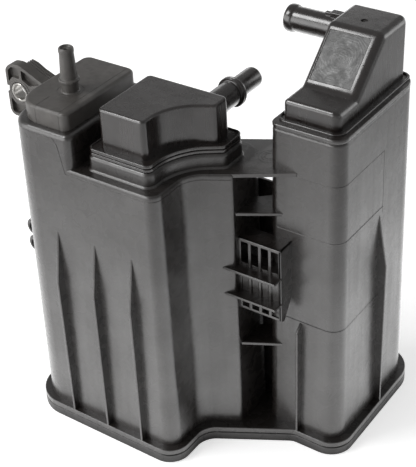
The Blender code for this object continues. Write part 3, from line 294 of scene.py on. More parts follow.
class CanisterStage(bpy.types.PropertyGroup):
    """Floor and lamps."""

    floor_colour: colour_prop("Floor", "Plain white paper", "f4f4f4")
    floor_lift: FloatProperty(
        name="Floor lift", description="How much whiter the paper shows than the lamps make it", default=0.6
    )
    # Painted light: the near and far lifts set the glow round the canister that only the gloss mirrors; no
    # lamp makes it
    near_lift: FloatProperty(
        name="Near lift", description="The same for the paper round the canister as its gloss mirrors it",
        default=1.15,
    )
    far_lift: FloatProperty(
        name="Far lift", description="The same for the paper farther away as the gloss mirrors it",
        default=0.1,
    )
    fill: FloatProperty(
        name="Fill", description="Strength of the soft light from all round", default=0.2
    )
    key_power: FloatProperty(
        name="Key lamp", description="Power of the softbox above on the left", unit="POWER", default=13.0
    )
    front_power: FloatProperty(
        name="Front lamp", description="Power of the broad softbox in front", unit="POWER", default=26.0
    )
    right_power: FloatProperty(
        name="Right lamp", description="Power of the softbox behind on the right", unit="POWER", default=4.0
    )
    left_power: FloatProperty(
        name="Left lamp", description="Power of the softbox behind on the left", unit="POWER", default=1.5
    )


# Shapes made with bmesh operators


def drafted(z):
    """How far the moulded walls have drawn in at height z."""
    return DRAFT * (z - FLANGE_Z[1])


def moved_corners(corners, inset):
    """Corners (x, y, radius) of an anticlockwise plan, moved inwards by inset."""
    moved = []
    for i, (x, y, radius) in enumerate(corners):
        before = (Vector((x, y)) - Vector(corners[i - 1][:2])).normalized()
        after = (Vector(corners[(i + 1) % len(corners)][:2]) - Vector((x, y))).normalized()
        across_before = Vector((-before.y, before.x))
        across_after = Vector((-after.y, after.x))
        shift = (across_before + across_after) * (inset / (1 + across_before.dot(across_after)))
        turn = math.atan2(before.cross(after), before.dot(after))
        radius = max(radius - inset, 0.3) if turn > 0 else radius + inset
        moved.append((x + shift.x, y + shift.y, radius, abs(turn)))
    return moved


def plan(corners, z, inset=0.0):
    """Bmesh with one flat face; each corner, given as (x, y, radius), is rounded by a vertex bevel."""
    bm = bmesh.new()
    moved = moved_corners(corners, inset)
    verts = [bm.verts.new((x, y, z)) for x, y, radius, turn in moved]
    bm.faces.new(verts)
    for vert, (x, y, radius, turn) in zip(verts, moved):
        bmesh.ops.bevel(
            bm, geom=[vert], offset=radius * math.tan(turn / 2), offset_type="OFFSET", segments=ARC,
            profile=0.5, affect="VERTICES", material=-1, clamp_overlap=False,
        )
    return bm


def lift(bm, rise, inset=0.0):
    """Carries the flat face up by rise and inwards by inset, and leaves a wall behind it."""
    face = max(bm.faces, key=lambda f: (len(f.verts), f.calc_center_median().z))
    bmesh.ops.inset_individual(bm, faces=[face], thickness=inset, depth=rise, use_even_offset=True)


def close(bm):
    """Closes the open foot and turns the faces outwards."""
    rim = [edge for edge in bm.edges if edge.is_boundary]
    if rim:
        bmesh.ops.edgeloop_fill(bm, edges=rim)
    bmesh.ops.recalc_face_normals(bm, faces=bm.faces)
    return bm


def round_level(bm, z, radius, segments=5):
    """Rounds the rim at height z."""
    rim = [
        edge for edge in bm.edges
        if all(abs(v.co.z - z) < 0.01 for v in edge.verts) and edge.calc_face_angle(0) > 0.7
    ]
    bmesh.ops.bevel(
        bm, geom=rim, offset=radius, offset_type="OFFSET", segments=segments, profile=0.5, affect="EDGES",
        material=-1, clamp_overlap=False,
    )


def tower(corners, z0, z1, top_radius, inset=0.0, top_inset=0.0):
    """Block whose walls draw in from inset to top_inset, with a rounded top rim."""
    bm = plan(corners, z0, inset)
    lift(bm, z1 - z0, top_inset - inset)
    close(bm)
    round_level(bm, z1, top_radius)
    return bm


def moulded(corners, z0, z1, top_radius, step=0.0):
    """Block with the draft of the housing's walls."""
    return tower(corners, z0, z1, top_radius, drafted(z0) + step, drafted(z1) + step)


def slab(corners, z0, z1, radius, inset=0.0):
    """Flat plate with both rims rounded."""
    bm = tower(corners, z0, z1, radius, inset, inset)
    round_level(bm, z0, radius, segments=3)
    return bm


def joined(*parts):
    """One bmesh from several closed ones."""
    whole = bmesh.new()
    for bm in parts:
        mesh = bpy.data.meshes.new("part")
        bm.to_mesh(mesh)
        bm.free()
        whole.from_mesh(mesh)
        bpy.data.meshes.remove(mesh)
    return whole


def block(x, y, z):
    """Rectangular block between the pairs x, y and z."""
    bm = bmesh.new()
    bmesh.ops.create_cube(bm, size=1.0)
    bmesh.ops.scale(bm, vec=(x[1] - x[0], y[1] - y[0], z[1] - z[0]), verts=bm.verts)
    bmesh.ops.translate(bm, vec=(sum(x) / 2, sum(y) / 2, sum(z) / 2), verts=bm.verts)
    return bm


def sheet(points, along, corner=0.0):
    """Flat face through the points, its corners rounded, extruded by the vector along."""
    bm = bmesh.new()
    bm.faces.new([bm.verts.new(point) for point in points])
    if corner:
        bmesh.ops.bevel(
            bm, geom=bm.verts[:], offset=corner, offset_type="OFFSET", segments=4, profile=0.5,
            affect="VERTICES", material=-1, clamp_overlap=True,
        )
    made = bmesh.ops.extrude_face_region(bm, geom=bm.faces[:])
    verts = [item for item in made["geom"] if isinstance(item, bmesh.types.BMVert)]
    bmesh.ops.translate(bm, vec=along, verts=verts)
    return close(bm)


def turned(profile, centre, axis, steps=48):
    """Closed profile of (radius, height) spun about the axis through centre."""
    bm = bmesh.new()
    verts = [bm.verts.new((radius, 0, height)) for radius, height in profile]
    edges = [bm.edges.new((a, b)) for a, b in zip(verts, verts[1:] + verts[:1])]
    bmesh.ops.spin(
        bm, geom=verts + edges, cent=(0, 0, 0), axis=(0, 0, 1), angle=2 * math.pi, steps=steps, use_merge=True
    )
    bmesh.ops.remove_doubles(bm, verts=bm.verts, dist=0.001)
    bmesh.ops.recalc_face_normals(bm, faces=bm.faces)
    turn = Vector((0, 0, 1)).rotation_difference(Vector(axis)).to_matrix().to_4x4()
    bmesh.ops.transform(bm, matrix=Matrix.Translation(centre) @ turn, verts=bm.verts)
    return bm


def ring_wall(corners, inset, width, z0, z1):
    """Low wall of the given width that follows a plan."""
    bm = plan(corners, z0, inset)
    face = next(iter(bm.faces))
    bmesh.ops.inset_individual(bm, faces=[face], thickness=width, use_even_offset=True)
    bmesh.ops.delete(bm, geom=[face], context="FACES")
    made = bmesh.ops.extrude_face_region(bm, geom=bm.faces[:])
    verts = [item for item in made["geom"] if isinstance(item, bmesh.types.BMVert)]
    bmesh.ops.translate(bm, vec=(0, 0, z1 - z0), verts=verts)
    bmesh.ops.recalc_face_normals(bm, faces=bm.faces)
    return bm


def wall_points(corners, z, inset):
    """Corners of the plan at height z in order, with the rounded ones as short steps."""
    bm = plan(corners, z, inset)
    points = [vert.co.copy() for vert in next(iter(bm.faces)).verts]
    bm.free()
    return points


def wall_path(corners, z, inset, start, end):
    """Points along a wall at height z, anticlockwise from the place next to start to the one next to end."""
    points = wall_points(corners, z, inset)
    first, last = (
        min(range(len(points)), key=lambda i: (points[i].xy - Vector(spot)).length) for spot in (start, end)
    )
    if last < first:
        last += len(points)
    return [points[i % len(points)] for i in range(first, last + 1)]


def ring_points(centre, radius):
    """Points ten degrees apart on a level ring."""
    turns = [math.radians(10 * step) for step in range(36)]
    return [Vector(centre) + Vector((math.cos(turn), math.sin(turn), 0)) * radius for turn in turns]


def cord(points, radius, closed=False):
    """Thin round bead along the points."""
    curve = bpy.data.curves.new("path", "CURVE")
    curve.dimensions = "3D"
    curve.bevel_depth = radius
    curve.bevel_resolution = 2
    curve.use_fill_caps = not closed
    spline = curve.splines.new("POLY")
    spline.points.add(len(points) - 1)
    for point, place in zip(spline.points, points):
        point.co = (*place, 1.0)
    spline.use_cyclic_u = closed
    obj = bpy.data.objects.new("path", curve)
    bm = bmesh.new()
    bm.from_mesh(obj.to_mesh())
    obj.to_mesh_clear()
    bpy.data.objects.remove(obj)
    bpy.data.curves.remove(curve)
    bmesh.ops.recalc_face_normals(bm, faces=bm.faces)
    return bm


def flash_bead(corners, z, inset, radius, rough=0.45):
    """Lumpy bead of weld flash that follows a plan."""
    bm = cord(wall_points(corners, z, inset), radius, closed=True)
    longer = [edge for edge in bm.edges if edge.calc_length() > FLASH_STEP]
    cuts = max(int(max(edge.calc_length() for edge in longer) / FLASH_STEP), 1)
    bmesh.ops.subdivide_edges(bm, edges=longer, cuts=min(cuts, 90), use_grid_fill=True)
    noise.seed_set(FLASH_SEED)
    for vert in bm.verts:
        for scale in FLASH_LUMPS:
            vert.co += noise.noise_vector(vert.co * scale) * radius * rough
    return bm


def drill(centre, axis, radius, length):
    """Round cutter from centre along axis."""
    bm = bmesh.new()
    bmesh.ops.create_cone(bm, cap_ends=True, segments=48, radius1=radius, radius2=radius, depth=length)
    bmesh.ops.translate(bm, vec=(0, 0, length / 2), verts=bm.verts)
    turn = Vector((0, 0, 1)).rotation_difference(Vector(axis)).to_matrix().to_4x4()
    bmesh.ops.transform(bm, matrix=Matrix.Translation(centre) @ turn, verts=bm.verts)
    return bm


def loose_object(bm):
    """Object that holds the bmesh while modifiers work on it."""
    mesh = bpy.data.meshes.new("shape")
    bm.to_mesh(mesh)
    bm.free()
    obj = bpy.data.objects.new("shape", mesh)
    bpy.context.scene.collection.objects.link(obj)
    return obj


def applied(base, tools=()):
    """Bmesh of the object as its modifiers make it; the object and its tools go."""
    shape = base.evaluated_get(bpy.context.evaluated_depsgraph_get())
    result = bmesh.new()
    result.from_mesh(shape.to_mesh())
    shape.to_mesh_clear()
    for obj in [base, *tools]:
        bpy.data.objects.remove(obj)
    bmesh.ops.remove_doubles(result, verts=result.verts, dist=0.001)
    return result


def carved(bm, cutters, operation="DIFFERENCE"):
    """The solid with each cutter taken out of it."""
    base = loose_object(bm)
    tools = [loose_object(cutter) for cutter in cutters]
    for tool in tools:
        cut = base.modifiers.new("cut", "BOOLEAN")
        cut.operation = operation
        cut.solver = "EXACT"
        cut.object = tool
    return applied(base, tools)


def softened(bm, radius):
    """The solid with its weighted edges rounded, by radius at a weight of one."""
    base = loose_object(bm)
    soft = base.modifiers.new("soft", "BEVEL")
    soft.width = radius
    soft.segments = 6
    soft.limit_method = "WEIGHT"
    soft.use_clamp_overlap = False
    return applied(base)


def piece(name, bm, material, replaces, bevel=0.0):
    """Finished object from a bmesh in the moulding's frame, in place of the named CAD node."""
    bmesh.ops.transform(bm, matrix=TO_CAD, verts=bm.verts)
    mesh = bpy.data.meshes.new(name)
    bm.to_mesh(mesh)
    bm.free()
    mesh.materials.append(material)
    mesh.shade_smooth()
    mesh.set_sharp_from_angle(angle=SHARP)
    obj = bpy.data.objects.new(name, mesh)
    bpy.context.scene.collection.objects.link(obj)
    if bevel:
        edges = obj.modifiers.new("edges", "BEVEL")
        edges.width = bevel * MM
        edges.segments = 3
        edges.limit_method = "ANGLE"
        edges.angle_limit = SHARP
        edges.use_clamp_overlap = True
    normals = obj.modifiers.new("normals", "WEIGHTED_NORMAL")
    normals.weight = 90
    normals.keep_sharp = True
    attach(obj, ROOT)
    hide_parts(replaces)
    return obj


# Materials


def add_node(tree, kind, settings, links):
    """Adds a node, sets its sockets or properties, and links sockets by name or number."""
    node = tree.nodes.new(kind)
    for key, value in settings.items():
        if isinstance(key, int) or key in node.inputs:
            node.inputs[key].default_value = value
        else:
            setattr(node, key, value)
    for key, source in links.items():
        tree.links.new(source, node.inputs[key])
    return node


def new_material(name):
    """Material with its node tree and its shader."""
    material = bpy.data.materials.new(name)
    material.use_nodes = True
    tree = material.node_tree
    return material, tree, tree.nodes["Principled BSDF"]


def per_mm(size):
    """Texture scale that gives features of that size, in millimetres."""
    return 1.0 / (size * MM)


def moulded_nylon(name, colour, roughness, grain=0.3, waves=0.3, skin=1.0):
    """Glass-filled nylon, injection moulded: a glossy resin skin over fine fibre grain.

    The skin thins out in clouds, has smudges and faint drag streaks, and dips over the sink marks.
    """
    material, tree, shader = new_material(name)
    place = add_node(tree, "ShaderNodeTexCoord", {}, {}).outputs["Object"]
    cloud = add_node(
        tree, "ShaderNodeTexNoise", {"Scale": per_mm(28), "Detail": 4.0, "Roughness": 0.6}, {"Vector": place}
    )
    smudge = add_node(
        tree, "ShaderNodeTexNoise", {"Scale": per_mm(7), "Detail": 3.0, "Distortion": 0.8}, {"Vector": place}
    )
    grit = add_node(
        tree, "ShaderNodeTexNoise", {"Scale": per_mm(0.9), "Detail": 2.0, "Roughness": 0.6}, {"Vector": place}
    )
    sink = add_node(tree, "ShaderNodeTexNoise", {"Scale": per_mm(11), "Detail": 2.0}, {"Vector": place})
    stretch = add_node(tree, "ShaderNodeMapping", {"Scale": (1.0, 1.0, 0.05)}, {"Vector": place})
    streak = add_node(
        tree, "ShaderNodeTexNoise", {"Scale": per_mm(3), "Detail": 1.0}, {"Vector": stretch.outputs[0]}
    )
    shade = add_node(
        tree, "ShaderNodeMapRange", {"From Min": 0.3, "From Max": 0.7, "To Min": 0.8, "To Max": 1.2},
        {"Value": smudge.outputs["Fac"]},
    )
    tint = add_node(
        tree, "ShaderNodeVectorMath", {"operation": "SCALE", 0: tuple(colour)}, {"Scale": shade.outputs[0]}
    )
    dull = add_node(
        tree, "ShaderNodeMapRange",
        {"From Min": 0.3, "From Max": 0.7, "To Min": roughness * 0.85, "To Max": roughness * 1.2},
        {"Value": streak.outputs["Fac"]},
    )
    worn = add_node(
        tree, "ShaderNodeMapRange",
        {"From Min": 0.3, "From Max": 0.7, "To Min": roughness * 0.55, "To Max": roughness * 0.9},
        {"Value": smudge.outputs["Fac"]},
    )
    thin = add_node(
        tree, "ShaderNodeMapRange",
        {"From Min": 0.35, "From Max": 0.65, "To Min": skin * 0.7, "To Max": skin},
        {"Value": cloud.outputs["Fac"]},
    )
    wavy = add_node(
        tree, "ShaderNodeBump", {"Strength": waves, "Distance": 0.0004}, {"Height": sink.outputs["Fac"]}
    )
    bump = add_node(
        tree, "ShaderNodeBump", {"Strength": grain, "Distance": 0.00003},
        {"Height": grit.outputs["Fac"], "Normal": wavy.outputs[0]},
    )
    tree.links.new(tint.outputs[0], shader.inputs["Base Color"])
    tree.links.new(dull.outputs[0], shader.inputs["Roughness"])
    tree.links.new(bump.outputs[0], shader.inputs["Normal"])
    tree.links.new(thin.outputs[0], shader.inputs["Coat Weight"])
    tree.links.new(worn.outputs[0], shader.inputs["Coat Roughness"])
    tree.links.new(bump.outputs[0], shader.inputs["Coat Normal"])
    shader.inputs["IOR"].default_value = NYLON_IOR
    shader.inputs["Coat IOR"].default_value = NYLON_IOR
    return material


def polished_panel(name, colour, centre):
    """Nylon panel rubbed by hand: shallow swirls round its middle catch the light like brush marks. Its
    colour, lighter than the lid's, is painted sheen for the softbox mirrored in the slope.
    """
    material, tree, shader = new_material(name)
    place = add_node(tree, "ShaderNodeTexCoord", {}, {}).outputs["Object"]
    moved = add_node(
        tree, "ShaderNodeVectorMath", {"operation": "SUBTRACT", 1: tuple(centre)}, {0: place}
    )
    swirl = add_node(
        tree, "ShaderNodeTexWave",
        {"wave_type": "RINGS", "rings_direction": "SPHERICAL", "Scale": per_mm(SWIRL) * WAVE_RING,
         "Distortion": 9.0, "Detail": 4.0, "Detail Scale": 1.2},
        {"Vector": moved.outputs[0]},
    )
    blot = add_node(
        tree, "ShaderNodeTexNoise", {"Scale": per_mm(5), "Detail": 4.0, "Distortion": 1.0}, {"Vector": place}
    )
    dull = add_node(
        tree, "ShaderNodeMapRange", {"From Min": 0.3, "From Max": 0.7, "To Min": 0.36, "To Max": 0.56},
        {"Value": blot.outputs["Fac"]},
    )
    heights = add_node(
        tree, "ShaderNodeMath", {"operation": "ADD"}, {0: swirl.outputs["Fac"], 1: blot.outputs["Fac"]}
    )
    bump = add_node(
        tree, "ShaderNodeBump", {"Strength": 0.3, "Distance": 0.00008}, {"Height": heights.outputs[0]}
    )
    shader.inputs["Base Color"].default_value = (*colour, 1.0)
    shader.inputs["IOR"].default_value = NYLON_IOR
    shader.inputs["Coat Weight"].default_value = 0.7
    shader.inputs["Coat IOR"].default_value = NYLON_IOR
    tree.links.new(dull.outputs[0], shader.inputs["Roughness"])
    tree.links.new(dull.outputs[0], shader.inputs["Coat Roughness"])
    tree.links.new(bump.outputs[0], shader.inputs["Normal"])
    tree.links.new(bump.outputs[0], shader.inputs["Coat Normal"])
    return material


def plated_steel(name, colour):
    """Turned steel with bright plating: fine rings round the axis and a few dull spots."""
    material, tree, shader = new_material(name)
    place = add_node(tree, "ShaderNodeTexCoord", {}, {}).outputs["Object"]
    spots = add_node(tree, "ShaderNodeTexNoise", {"Scale": per_mm(2.5), "Detail": 3.0}, {"Vector": place})
    squeeze = add_node(tree, "ShaderNodeMapping", {"Scale": (1.0, 12.0, 1.0)}, {"Vector": place})
    lines = add_node(
        tree, "ShaderNodeTexNoise", {"Scale": per_mm(3), "Detail": 2.0}, {"Vector": squeeze.outputs[0]}
    )
    dull = add_node(
        tree, "ShaderNodeMapRange", {"From Min": 0.3, "From Max": 0.7, "To Min": 0.2, "To Max": 0.38},
        {"Value": spots.outputs["Fac"]},
    )
    bump = add_node(
        tree, "ShaderNodeBump", {"Strength": 0.1, "Distance": 0.00004}, {"Height": lines.outputs["Fac"]}
    )
    shader.inputs["Base Color"].default_value = (*colour, 1.0)
    shader.inputs["Metallic"].default_value = 1.0
    tree.links.new(dull.outputs[0], shader.inputs["Roughness"])
    tree.links.new(bump.outputs[0], shader.inputs["Normal"])
    return material


def porous(name, colour, size, depth, roughness=0.95):
    """Dull mat or bed of grains of the given size in millimetres, with painted shade darkening the hollows
    between them.
    """
    material, tree, shader = new_material(name)
    place = add_node(tree, "ShaderNodeTexCoord", {}, {}).outputs["Object"]
    cells = add_node(tree, "ShaderNodeTexVoronoi", {"Scale": per_mm(size)}, {"Vector": place})
    # Painted shade: each grain is lightest at its middle and darker towards the hollows round it
    shade = add_node(
        tree, "ShaderNodeMapRange", {"From Min": 0.0, "From Max": 0.8, "To Min": 1.15, "To Max": 0.55},
        {"Value": cells.outputs["Distance"]},
    )
    tint = add_node(
        tree, "ShaderNodeVectorMath", {"operation": "SCALE", 0: tuple(colour)}, {"Scale": shade.outputs[0]}
    )
    bump = add_node(
        tree, "ShaderNodeBump", {"Strength": 0.6, "Distance": depth * MM, "invert": True},
        {"Height": cells.outputs["Distance"]},
    )
    tree.links.new(tint.outputs[0], shader.inputs["Base Color"])
    tree.links.new(bump.outputs[0], shader.inputs["Normal"])
    shader.inputs["Roughness"].default_value = roughness
    return material


def shared(name, maker, *settings):
    """The named material, made once."""
    return bpy.data.materials.get(name) or maker(name, *settings)


def housing_nylon():
    """Glass-filled nylon of the chambers: satin black that mirrors the room softly."""
    finish = bpy.context.scene.canister_finish
    return shared("housing_nylon_moulded", moulded_nylon, finish.housing_colour, finish.gloss)


def lid_nylon():
    """Smoother nylon of the lid and the hood: deeper black, glossier, with hardly any grain."""
    finish = bpy.context.scene.canister_finish
    return shared("lid_nylon_moulded", moulded_nylon, finish.lid_colour, finish.gloss - 0.1, 0.05, 0.4)


def flash_nylon():
    """Nylon squeezed out of a hot-plate weld: wet gloss over rough, lumpy beads."""
    finish = bpy.context.scene.canister_finish
    return shared("weld_flash_nylon", moulded_nylon, finish.lid_colour, finish.gloss, 0.4, 1.0, 0.4)


def satin_nylon():
    """The same nylon from a textured part of the mould: dull and even, with little skin."""
    finish = bpy.context.scene.canister_finish
    return shared(
        "dome_nylon_textured", moulded_nylon, finish.dome_colour, finish.gloss + 0.12, 0.8, 0.3, 0.35
    )


def settings_of(context):
    """Sizes that the user sets."""
    return context.scene.canister_shape


# Plans of the pieces


def stepped(x, y, gap_slope, radii):
    """Plan whose front steps back along a diagonal; x is left, front end and gap, y front, hollow, back."""
    gap_y = y[1] + (x[2] - x[1]) * gap_slope
    xy = ((x[0], y[0]), (x[1], y[0]), (x[1], y[1]), (x[2], gap_y), (x[2], y[2]), (x[0], y[2]))
    return [(*point, radius) for point, radius in zip(xy, radii)]


def rectangle(x, y, radii):
    """Plan of a box, from its front left corner anticlockwise."""
    xy = ((x[0], y[0]), (x[1], y[0]), (x[1], y[1]), (x[0], y[1]))
    return [(*point, radius) for point, radius in zip(xy, radii)]


def left_plan():
    return stepped(LEFT_X, LEFT_Y, SLOPE, LEFT_RADII)


def block_plan():
    x1 = BLOCK_X1 + drafted(LEDGE_Z)
    return [
        (LEFT_X[0], LEFT_Y[0], LEFT_RADII[0]), (x1, LEFT_Y[0], BLOCK_R), (x1, BLOCK_Y1, BLOCK_R),
        (LEFT_X[0], BLOCK_Y1, LEFT_RADII[5]),
    ]


def pad_plan():
    return stepped(PAD_X, PAD_Y, PAD_SLOPE, PAD_RADII)


def lid_plan():
    return stepped(LID_X, LID_Y, LID_SLOPE, LID_RADII)


def right_plan():
    return rectangle(RIGHT_X, RIGHT_Y, RIGHT_RADII)


def hood_plan():
    return rectangle(HOOD_X, HOOD_Y, (HOOD_PLAN_R,) * 4)


def flange_plan():
    """One outline round both chambers; its two diagonals run beside the web between them."""
    lip = FLANGE_LIP
    front_x = LEFT_X[1] + lip
    diagonal_lip = FLANGE_DIAGONAL_LIP * math.sqrt(1 + SLOPE * SLOPE)
    hollow_y = LEFT_Y[1] + lip * SLOPE - diagonal_lip
    front_y = RIGHT_Y[0] - lip
    rear_x = RIGHT_X[0] - lip
    rear_y = LEFT_Y[2] + lip
    rear_drop = (TOP_WEB_REAR_Y - rear_y) + diagonal_lip + (rear_x - LEFT_X[2] + drafted(LEDGE_Z)) * SLOPE
    return [
        (LEFT_X[0] - lip, LEFT_Y[0] - lip, LEFT_RADII[0] + lip),
        (front_x, LEFT_Y[0] - lip, LEFT_RADII[1] + lip),
        (front_x, hollow_y, LEFT_RADII[2]),
        (front_x + (front_y - hollow_y) / SLOPE, front_y, 2 * lip),
        (RIGHT_X[1] + lip, front_y, RIGHT_RADII[1] + lip),
        (RIGHT_X[1] + lip, RIGHT_Y[1] + lip, RIGHT_RADII[2] + lip),
        (rear_x, RIGHT_Y[1] + lip, RIGHT_RADII[3] + lip),
        (rear_x, rear_y + rear_drop, lip),
        (rear_x - rear_drop / SLOPE, rear_y, 2 * lip),
        (LEFT_X[0] - lip, rear_y, LEFT_RADII[5] + lip),
    ]


# Pieces of the housing


class CANISTER_OT_chambers(bpy.types.Operator):
    """Both chambers with the raised block, the purge dome and the pad for the lid"""

    bl_idname = "canister.chambers"
    bl_label = "Chambers"

    def execute(self, context):
        nylon = housing_nylon()
        z0 = FLANGE_Z[1] - 0.5
        radius = settings_of(context).line_radius
        line = self.left_line(radius)
        left = carved(moulded(left_plan(), z0, LEDGE_Z, LEDGE_R), [line.copy()])
        raised = carved(moulded(block_plan(), z0 + 1, BLOCK_Z, 3.0, step=-0.02), [line])
        piece("left_chamber", joined(left, raised), nylon, "canister_body")
        dome = carved(tower(DOME, BLOCK_Z - 1, DOME_Z, 2.0), self.dome_lines(radius * 0.7))
        piece("purge_dome", dome, satin_nylon(), "canister_body")
        pad = tower(pad_plan(), LEDGE_Z - 1, PAD_Z, 2.4)
        foot = tower(pad_plan(), LEDGE_Z - 0.5, LEDGE_Z + 1.2, 1.0, -1.3, -0.3)
        piece("lid_pad", joined(pad, foot), nylon, "canister_body")
        right = carved(moulded(right_plan(), z0, RIGHT_Z, 1.6), self.right_lines(radius))
        piece("right_chamber", right, nylon, "canister_body")
        flange = slab(flange_plan(), *FLANGE_Z, SEAM_R)
        piece("housing_flange", flange, nylon, "canister_body")
        return {"FINISHED"}

    def left_line(self, radius):
        """Cutter for the mould's parting line, which steps down beside the raised block."""
        front_y = LEFT_Y[0]
        high, low = LEFT_LINE_Z
        left = wall_path(
            block_plan(), high, drafted(high), (LEFT_X[0], LEFT_Y[2] - 20.0),
            (LEFT_X[0] + LEFT_RADII[0], front_y),
        )
        step = [Vector((x, front_y + drafted(z), z)) for x, z in LEFT_LINE_STEP]
        right = wall_path(
            left_plan(), low, drafted(low), (LEFT_X[1] - LEFT_RADII[1], front_y),
            (LEFT_X[2], LEFT_Y[1] + LEFT_RADII[2]),
        )
        return cord([*left, *step, *right], radius)

    def dome_lines(self, radius):
        """Cutters for the marks of the mould's inserts on the dome."""
        front_y, rear_y = DOME[0][1], DOME[2][1]
        lines = []
        for x, end_y in zip(DOME_LINE_X, (front_y + 12.0, rear_y)):
            path = (
                (front_y, BLOCK_Z), (front_y, DOME_Z - 2.0), (front_y + 0.6, DOME_Z - 0.6),
                (front_y + 2.0, DOME_Z), (end_y, DOME_Z),
            )
            lines.append(cord([Vector((x, y, z)) for y, z in path], radius))
        lines.append(cord(ring_points((*NIPPLE, DOME_Z), DOME_RING_R), radius, closed=True))
        return lines

    def right_lines(self, radius):
        """Cutters for the parting lines of the right chamber, which end on an upright one."""
        lines = []
        upright_y = SIDE_FIN[0] + 3.0
        for z in RIGHT_LINE_Z:
            inset = drafted(z)
            path = wall_path(
                right_plan(), z, inset, (RIGHT_X[0] + RIGHT_RADII[0], RIGHT_Y[0]),
                (RIGHT_X[1], RIGHT_Y[0] + RIGHT_RADII[1]),
            )
            lines.append(cord([*path, Vector((RIGHT_X[1] - inset, upright_y, z))], radius))
        upright = [Vector((RIGHT_X[1] - drafted(z), upright_y, z)) for z in (SIDE_FIN[2], RIGHT_LINE_Z[0])]
        lines.append(cord(upright, radius))
        return lines


class CANISTER_OT_purge_nipple(bpy.types.Operator):
    """Hose nipple on the purge dome"""

    bl_idname = "canister.purge_nipple"
    bl_label = "Purge nipple"

    def execute(self, context):
        tip = NIPPLE_TIP_Z
        disc = DOME_Z + 5.4
        profile = [
            (1.1, DOME_Z - 1.0), (1.1, tip - 1.6), (1.4, tip - 1.35), (2.5, tip - 1.1), (2.8, tip - 0.8),
            (3.0, tip - 0.25), (3.4, tip), (3.8, tip - 0.25), (4.15, tip - 0.9), (4.15, tip - 2.4),
            (3.95, tip - 3.2), (3.95, tip - 4.0), (4.7, disc + 2.6), (4.9, disc + 2.3),
            (5.45, disc + 2.1), (5.7, disc + 1.7), (5.7, disc + 0.8), (5.4, disc + 0.4),
            (4.8, disc + 0.2), (4.7, disc), (4.7, DOME_Z + 0.9), (4.85, DOME_Z + 0.4), (5.1, DOME_Z + 0.1),
            (5.4, DOME_Z - 0.05), (5.4, DOME_Z - 1.0),
        ]
        nipple = turned(profile, (*NIPPLE, 0.0), (0, 0, 1))
        piece("purge_nipple", nipple, satin_nylon(), "canister_body")
        return {"FINISHED"}


class CANISTER_OT_fins(bpy.types.Operator):
    """Stiffening ribs on the front and right walls"""

    bl_idname = "canister.fins"
    bl_label = "Ribs"

    def execute(self, context):
        foot = FLANGE_Z[1] - 0.6
        made = []
        for (along, bend, tip), wall in [(fin, LEFT_Y[0]) for fin in FRONT_FINS] + [(SHORT_FIN, RIGHT_Y[0])]:
            outer = wall - FLANGE_LIP + FIN_SETBACK
            profile = (
                (outer, foot), (wall + BITE, foot), (wall + FIN_TIP_BITE, tip), (wall + drafted(tip), tip),
                (outer, bend),
            )
            made.append(sheet([(along - FIN_T / 2, y, z) for y, z in profile], (FIN_T, 0, 0)))
        along, bend, tip = SIDE_FIN
        wall = RIGHT_X[1]
        outer = wall + FLANGE_LIP - FIN_SETBACK
        profile = (
            (outer, foot), (outer, bend), (wall - drafted(tip), tip), (wall - FIN_TIP_BITE, tip),
            (wall - BITE, foot),
        )
        made.append(sheet([(x, along - FIN_T / 2, z) for x, z in profile], (0, FIN_T, 0)))
        piece("wall_ribs", joined(*made), housing_nylon(), "canister_body", settings_of(context).edge_radius)
        return {"FINISHED"}


class CANISTER_OT_webs(bpy.types.Operator):
    """Plates that tie the two chambers together"""

    bl_idname = "canister.webs"
    bl_label = "Webs"

    def execute(self, context):
        nylon = housing_nylon()
        radius = settings_of(context).edge_radius
        left_x = LEFT_X[2] - drafted(LEDGE_Z)
        left_y = LEFT_Y[1] + (LEFT_X[2] - LEFT_X[1]) * SLOPE + drafted(LEDGE_Z)
        wall_y = RIGHT_Y[0] + drafted(TOP_WEB_Z)
        inside_x = RIGHT_X[0] + drafted(LEDGE_Z) + BITE
        top = (
            (left_x - 10.0, left_y - 10.0 * SLOPE), (left_x, left_y), (TOP_WEB_TIP_X, wall_y - 0.3),
            (TOP_WEB_TIP_X, wall_y + BITE), (inside_x, wall_y + WALL),
            (inside_x, TOP_WEB_REAR_Y + (inside_x - left_x) * SLOPE),
            (left_x - 20.0, TOP_WEB_REAR_Y - 20.0 * SLOPE), (left_x - 20.0, left_y + 10.0),
        )
        level = LEDGE_Z - 0.05
        web = sheet([(x, y, level) for x, y in top], (0, 0, -WEB_T))
        geometry = web.verts[:] + web.edges[:] + web.faces[:]
        bmesh.ops.bisect_plane(web, geom=geometry, plane_co=(left_x, 0, 0), plane_no=(1, 0, 0))
        for vert in web.verts:
            vert.co.z += max(vert.co.x - left_x, 0.0) * TOP_WEB_RISE
        web = carved(web, [self.ripple(radius, left_x, level) for radius in RIPPLE_R])
        piece("top_web", web, nylon, "canister_body", radius)
        lower = []
        for z in WEB_LEVELS:
            front_y = RIGHT_Y[0] + drafted(z)
            points = (
                (left_x - BITE, left_y), (left_x, left_y + 1.0), (WEB_TIP_X, front_y),
                (WEB_TIP_X, front_y + BITE), (inside_x, front_y + WALL), (inside_x, BACK_PANEL_Y),
                (left_x - BITE, BACK_PANEL_Y - 14.0),
            )
            lower.append(sheet([(x, y, z) for x, y in points], (0, 0, -WEB_T)))
        half = WEB_T / 2
        lower.append(
            block(
                (left_x - 14.0, inside_x), (BACK_PANEL_Y - half, BACK_PANEL_Y + half),
                (FLANGE_Z[1] - 0.6, BACK_PANEL_TOP),
            )
        )
        piece("lower_webs", joined(*lower), nylon, "canister_body", radius)
        return {"FINISHED"}

    def ripple(self, radius, left_x, level):
        """Cutter for a fine ring that the mould's ejector left on the tilted web."""
        points = ring_points((*RIPPLE, level), radius)
        for point in points:
            point.z += max(point.x - left_x, 0.0) * TOP_WEB_RISE
        return cord(points, RIPPLE_LINE_R, closed=True)


